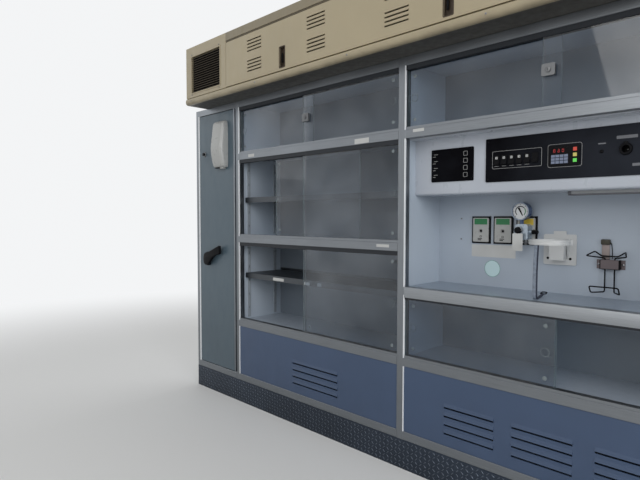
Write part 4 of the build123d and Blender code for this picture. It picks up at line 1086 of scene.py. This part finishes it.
# The strap falls from the front of the ring, twisting a little, and its dark tail rises off the counter
def makeStrap():
    strap = spanOf("bracket_strap")
    ring = spanOf("canister_ring")
    wide = bracket["strapWidth"] / 2
    thick = bracket["strapThickness"] / 2
    outer = bracket["ringInner"] + bracket["ringWall"]
    mean = outer - bracket["ringWall"] / 2
    topX = ring.x - bracket["strapLead"]
    topY = ring.y0 + outer - math.sqrt(mean ** 2 - bracket["strapLead"] ** 2)
    footX = ring.x - 4
    foot = strap.z0 + thick
    route = roundedRoute(((topX, topY, strap.z1 + 0.4), (topX + 1, topY - 6, strap.z1 - 25),
                          (topX + 8, topY - 28, strap.z1 - 90), (footX, strap.y0 + 3, foot + 12),
                          (footX, strap.y0 + 7, foot), (footX, strap.y0 + 16, foot)), 30, 8)
    makePiece("strapWebbing", "webbing", "webbing", addSweep, route, strapSection(1.0), replaces=("bracket_strap",))
    # One side of the strap is a dark band: painted shade
    t = thick + 0.25
    border = ((wide * 0.45, -t), (wide + 0.2, -t), (wide + 0.2, t), (wide * 0.45, t))
    makePiece("strapShadedSide", "darkWebbing", "webbing", addSweep, route, border)
    endY = strap.y1 - 16
    endZ = foot + bracket["tailRise"]
    points = ((footX, strap.y0 + 12, foot + 0.6), (footX, strap.y0 + 34, foot + 1), (footX - 2, endY - 24, foot + 3),
              (footX - 3, endY, endZ))
    makePiece("strapTail", "darkWebbing", "webbing", addSweep, roundedRoute(points, 14, 6),
              strapSection(bracket["tailShare"]))
    x, half = footX - 3, 8.5
    near, far = (endY - 2, endZ), (endY + 14, endZ + 4)
    corners = ((x, *near), (x - half, *near), (x - half, *far), (x + half, *far), (x + half, *near), (x, *near))
    makePiece("strapBuckle", "blackPlastic", "black_plastic", addSweep, roundedRoute(corners, 6)[:-1],
              roundSection(2.0, 12), True, (0, 0, 1))


makeBracket()
makeStrap()
print("bracket and strap made")


# Wire rack: one bent wire, the dark edges of its clamp, the sprung tongue's cap and its thin wire
rack = {"radius": 2.2, "bend": 7.0, "standoff": 12.0, "spread": 14.0, "height": 110.0, "tongueOffset": 15.0,
        "tongueHalf": 11.4, "capHalf": 14.0, "capHeight": 15.0, "bandHalf": 29.0, "bandHeight": 30.0, "thin": 1.3}


def makeRack():
    clamp = spanOf("rack_clamp")
    x = clamp.x
    wall = clamp.y1
    y = wall - rack["standoff"]
    low = spanOf("wire_rack").z0 + rack["radius"]
    high = low + rack["height"]
    s = rack["spread"]
    # One side of the wire, from the front lip to the top bar, and the middles of both
    side = ((s + 28, -62, low + 22), (s + 28, -44, low), (s, 0, low), (s, 0, high), (s + 44, -44, high + 8),
            (s + 31, 0, high + 21), (s + 10.6, 0, high + 6))
    lip, bar = (x, y - 62, low + 22), (x, y, high + 6)
    right = [(x + dx, y + dy, z) for dx, dy, z in side]
    left = [(x - dx, y + dy, z) for dx, dy, z in reversed(side)]
    makePiece("bentWire", "blackPlastic", "black_wire", addSweep,
              roundedRoute((lip, *right, bar, *left, lip), rack["bend"])[:-1], roundSection(rack["radius"]), True,
              (0, 0, 1), replaces=("wire_rack",))
    # The cap is folded over the tongue's top, and the thin wire runs from it down behind the top bar
    middle, half = x - rack["tongueOffset"], rack["capHalf"]
    makePiece("tongueCap", "capOlive", "black_plastic", addBox, middle - half, middle + half, wall - 12, wall - 0.5,
              clamp.z1 - rack["capHeight"], clamp.z1 + 2, 3.0)
    end = middle + half
    points = ((end - 4, wall - 5, clamp.z1 - 3), (end + 3, wall - 6, clamp.z1 - 12),
              (end + 6, wall - 7, clamp.z1 - 30), (end + 6, wall - 6, high - 2))
    makePiece("springWire", "blackPlastic", "black_wire", addSweep, roundedRoute(points, 12),
              roundSection(rack["thin"], 8), False, (0, 1, 0))
    half = rack["tongueHalf"]
    bandTop = clamp.z0 + rack["bandHeight"]
    makePiece("tongueSheath", "tongueTan", "black_wire", addBox, middle - half, middle + half, wall - 5.6,
              wall - 1.6, bandTop + 3, clamp.z1 - 12, 0.6)
    edges = bmesh.new()
    band = rack["bandHalf"]
    for side in (-1, 1):
        ends = sorted((x + side * (band - 2.6), x + side * (band + 0.4)))
        addBox(edges, *ends, clamp.y0 - 0.5, wall - 2.2, clamp.z0 - 0.5, bandTop + 0.5, 0.4)
    addBox(edges, x - band, x + band, clamp.y0 - 0.4, clamp.y0 + 1, clamp.z0 - 0.4, clamp.z0 + 1.2)
    finishPiece("clampEdges", edges, "blackPlastic", "black_wire", smooth=False)


makeRack()
print("rack made")


# Dispenser: a moulded shell, fuller over its lower half, in place of the faceted CAD body
# Columns: height over the foot, depth from the door, half width, corner radius
# Trim: piece, finish, slot, smoothness; then, from the body's middle, the door's front and the foot, left,
# right, front, back, bottom, top; and its bevel
dispenser = {"levels": ((0, 22, 43, 9), (3, 28, 46, 13), (9, 33, 48, 16), (24, 38, 49.5, 19), (48, 44, 50, 21),
                        (75, 49, 50, 22), (100, 51, 50, 22), (125, 49, 50, 22), (150, 45, 50, 21), (175, 41, 50, 20),
                        (205, 37, 49.7, 18), (225, 33, 48.5, 15), (235, 28, 46.5, 12), (240, 22, 44, 9),
                        (243, 15, 41, 6)),
             "trim": (("dispenserSpout", "whitePlastic", "white_plastic", True, 2, 32, 20, 2, -8, 2, 2.5),
                      # The black mouth at the foot: painted shade in the opening
                      ("dispenserMouthShade", "blackPlastic", "black_plastic", True, -38, 0, 24, 4, -4, 1, 1.5),
                      ("dispenserSeam", "lineGrey", "white_plastic", False, -50.2, 50.2, 7, 6, 16, 226, 0.0))}


def dispenserSection(depth, halfWidth, radius, steps=6):
    turns = [math.pi / 2 * step / steps for step in range(steps + 1)]
    corner = [(halfWidth - radius + radius * math.cos(turn), depth - radius + radius * math.sin(turn))
              for turn in turns]
    return [(halfWidth, 0.0), *corner, *((-x, y) for x, y in reversed(corner)), (-halfWidth, 0.0)]


def makeDispenser():
    door = spanOf("locker_door").y0
    body = spanOf("dispenser")
    foot = body.z1 - dispenser["levels"][-1][0]
    bm = bmesh.new()
    rings = [[bm.verts.new((body.x + x, door - y, foot + rise)) for x, y in dispenserSection(*sizes)]
             for rise, *sizes in dispenser["levels"]]
    addRings(bm, rings, True)
    finishPiece("dispenserShell", bm, "whitePlastic", "white_plastic", "locker_door", replaces=("dispenser",))
    for name, finish, slot, smooth, left, right, front, back, bottom, top, bevel in dispenser["trim"]:
        makePiece(name, finish, slot, addBox, body.x + left, body.x + right, door - front, door - back,
                  foot + bottom, foot + top, bevel, body="locker_door", smooth=smooth)


# Locker's latch: an oblong escutcheon and a lever that widens to its end, in place of the plain CAD latch
# Lever outline: (x, z) from the middle of the escutcheon, which lies off the middle of the CAD rose
latchSet = {"rose": 26.0, "shift": (-5.0, 9.0), "halfPlate": (16.5, 38.0), "plateDepth": 15.0, "leverBack": 17.0,
            "leverFront": 31.0, "lever": ((-15, 2), (-9, 26), (8, 36), (38, 40), (136, 78), (139, 33), (92, 22),
                                          (66, 8), (48, -12), (30, -30), (2, -34), (-12, -20)),
            "ring": ((7.0, 0), (7.0, 4.0), (11.0, 4.0), (13.0, 2.6), (14.0, 0.6), (14.0, 0)),
            "barrel": ((0, 14.0), (6.2, 14.0), (7.4, 13.0), (7.4, 2.0)), "slotHalf": (0.7, 4.0)}


# Rounds the edges that lie on the front of a shape
def roundFront(bm, front, offset):
    rim = [edge for edge in bm.edges if all(vert.co.y < front + 0.1 for vert in edge.verts)]
    bevelEdges(bm, rim, offset, 3)


# Slot of a key, at one place
def makeKeySlot(name, finish, slot, body, x, z, y0, y1):
    wide, tall = latchSet["slotHalf"]
    makePiece(name, finish, slot, addBox, x - wide, x + wide, y0, y1, z - tall, z + tall, body=body, smooth=False)


def makeLatch():
    lockPlate, latch = sorted(solidsOf("locker_latch"), key=lambda solid: solid.z1 - solid.z0)
    door = spanOf("locker_door").y0
    x = latch.x0 + latchSet["rose"] + latchSet["shift"][0]
    z = latch.z0 + latchSet["rose"] + latchSet["shift"][1]
    wide, tall = latchSet["halfPlate"]
    bm = bmesh.new()
    front = door - latchSet["plateDepth"]
    addPlate(bm, roundedOutline(x - wide, x + wide, z - tall, z + tall, wide - 1, 8), front, door)
    roundFront(bm, front, 4.0)
    finishPiece("latchPlate", bm, "blackPlastic", "black_plastic", "locker_door", replaces=("locker_latch",))
    lever = bmesh.new()
    front = door - latchSet["leverFront"]
    addPlate(lever, [(x + dx, z + dz) for dx, dz in latchSet["lever"]], front, door - latchSet["leverBack"])
    corners = [edge for edge in lever.edges if abs(edge.verts[0].co.y - edge.verts[1].co.y) > 1]
    bevelEdges(lever, corners, 7.0, 4)
    roundFront(lever, front, 3.0)
    finishPiece("latchLever", lever, "blackPlastic", "black_plastic", "locker_door")
    place = (lockPlate.x, door, lockPlate.z)
    makePiece("keyRing", "satinChrome", "lock_metal", addTurned, latchSet["ring"], place, 40, body="locker_door")
    makePiece("keyBarrel", "blackPlastic", "black_plastic", addTurned, latchSet["barrel"], place, 32,
              body="locker_door")
    makeKeySlot("keySlot", "screwSteel", "lock_metal", "locker_door", lockPlate.x, lockPlate.z, door - 14.3,
                door - 13.6)


# Pane locks: a keyed barrel on each, its keyway a black slot: painted shade
paneLock = {"barrel": ((0, 0.8), (6.6, 0.8), (8.4, 0.2), (8.4, -2.6)), "slotFront": 1.0, "slotBack": 0.2}


def makePaneLocks():
    for row in ("row_a", "upper"):
        lock = spanOf(f"lock_{row}")
        door = f"{row}_right_door"
        makePiece(f"{row}Barrel", "satinChrome", "lock_metal", addTurned, paneLock["barrel"],
                  (lock.x, lock.y0, lock.z), 32, body=door)
        makeKeySlot(f"{row}KeySlot", "blackPlastic", "black_plastic", door, lock.x, lock.z,
                    lock.y0 - paneLock["slotFront"], lock.y0 - paneLock["slotBack"])


# Frosted outline round each pane's finger pull, the small catch plate beside it, and two round bumpers
pull = {"ring": 1.3, "plateStart": 8.0, "plateWidth": 20.0, "plateHalf": 12.0, "line": 1.0, "proud": 0.2,
        "bumper": ((0, 0.9), (4.6, 0.9), (6.4, 0.4), (7.0, 0)), "bumperInset": 34.0, "lip": 1.5}


def makePullOutlines():
    for name in [node for node in nodes if node.startswith("pane_")]:
        pane = spanOf(name)
        places = [vert.co / mm for vert in nodes[name].data.vertices if vert.co.y / mm < pane.y0 + 0.4]
        left, right = (pick(place.x for place in places) for pick in (min, max))
        x = (left + right) / 2
        z = (min(place.z for place in places) + max(place.z for place in places)) / 2
        radius = right - x
        proud = pull["proud"]
        inner = radius - pull["ring"]
        face = pane.y0 + pull["lip"]
        bm = bmesh.new()
        addTurned(bm, ((inner, 0), (inner, proud), (radius + 0.3, proud), (radius + 0.3, -1.4), (radius, -1.4),
                       (radius, 0)), (x, pane.y0, z), 40)
        for bumperZ in (pane.z0 + pull["bumperInset"], pane.z1 - pull["bumperInset"]):
            addTurned(bm, pull["bumper"], (x, face, bumperZ), 24)
        towards = 1 if x > pane.x else -1
        ends = sorted((x + towards * pull["plateStart"], x + towards * (pull["plateStart"] + pull["plateWidth"])))
        addOutlineFrame(bm, *ends, z - pull["plateHalf"], z + pull["plateHalf"], 2, pull["line"], face - proud, face)
        row, side = name[len("pane_"):].rsplit("_", 1)
        finishPiece(f"{row}{side.capitalize()}Pull", bm, "frostedEdge", "clear_pane", f"{row}_{side}_door")


makeDispenser()
makeLatch()
makePaneLocks()
makePullOutlines()


# Duct grilles: a thin flange and closely set blades that fall towards the front, over a dark screen: painted shade in
# the duct
grille = {"flange": 5.0, "overlap": 3.0, "proud": 2.0, "blades": 16, "bladeDepth": 11.0, "bladeThickness": 1.3,
          "bladeEnd": 1.5, "tilt": 35.0, "screenBehind": 14.0, "lining": 2.0}


def makeGrilles():
    face = spanOf("overhead_fascia").y0
    frames, blades, screens = (bmesh.new() for index in range(3))
    back, lining = face + grille["screenBehind"], grille["lining"]
    for span in solidsOf("duct_grilles"):
        addOutlineFrame(frames, *span.grown(grille["overlap"]), 3, grille["flange"], face - grille["proud"], face)
        for left, right, low, high in ((span.x0, span.x1, span.z0, span.z0 + lining),
                                       (span.x0, span.x1, span.z1 - lining, span.z1),
                                       (span.x0, span.x0 + lining, span.z0 + 1, span.z1 - 1),
                                       (span.x1 - lining, span.x1, span.z0 + 1, span.z1 - 1)):
            addBox(frames, left, right, face - 0.5, back, low, high)
        left, right, low, high = span.grown(-1)
        addBox(screens, left, right, back - 1, back, low, high)
        pitch = (span.z1 - span.z0 - 2 * lining) / grille["blades"]
        turn = Matrix.Rotation(math.radians(grille["tilt"]), 4, "X")
        size = Matrix.Diagonal((span.x1 - span.x0 - 2 * grille["bladeEnd"], grille["bladeDepth"],
                                grille["bladeThickness"], 1))
        for index in range(grille["blades"]):
            middle = Vector((span.x, face + grille["bladeDepth"] / 2, span.z0 + lining + (index + 0.5) * pitch))
            bmesh.ops.create_cube(blades, size=1.0, matrix=Matrix.Translation(middle) @ turn @ size)
    finishPiece("grilleFrames", frames, "creamPaint", "cream_paint", smooth=False, replaces=("duct_grilles",))
    finishPiece("grilleBlades", blades, "grilleBrown", "cream_paint", smooth=False)
    finishPiece("grilleShadeScreens", screens, "blackPlastic", "black_plastic", smooth=False)


# Overhead: edging round the hatch pulls, latch bars in them, and a darker sheet on the strip over the hatch: painted
# shade
# Latch bar: left, right, front, back, bottom, top from the cup's inner corner on the fascia
overhead = {"edge": 3.0, "proud": 0.8, "cupWall": 3.0, "bar": (6, 14, 6, 10, 22, 62), "stripStart": 10.0}


def makeOverheadDetails():
    hatch = spanOf("hatch_panel")
    fascia = spanOf("overhead_fascia")
    edging, bars = bmesh.new(), bmesh.new()
    edge = overhead["edge"]
    left, right, front, back, bottom, top = overhead["bar"]
    for cup in solidsOf("hatch_pulls"):
        addOutlineFrame(edging, *cup.grown(edge - overhead["cupWall"]), 5, edge + 0.6, fascia.y0 - overhead["proud"],
                        fascia.y0)
        x, z = cup.x0 + overhead["cupWall"], cup.z0 + overhead["cupWall"]
        addBox(bars, x + left, x + right, fascia.y0 + front, fascia.y0 + back, z + bottom, z + top, 1.2)
    finishPiece("pullEdging", edging, "pullBrown", "cream_paint", "hatch")
    finishPiece("pullLatches", bars, "blackPlastic", "black_plastic", "hatch")
    makePiece("shadedTopStrip", "topCream", "cream_paint", addBox, hatch.x0 - 2, hatch.x1 + 2, fascia.y0 - 0.5, fascia.y0,
              hatch.z1 + overhead["stripStart"], fascia.z1 - 1, smooth=False)


makeGrilles()
makeOverheadDetails()
print("locker, locks and overhead made")
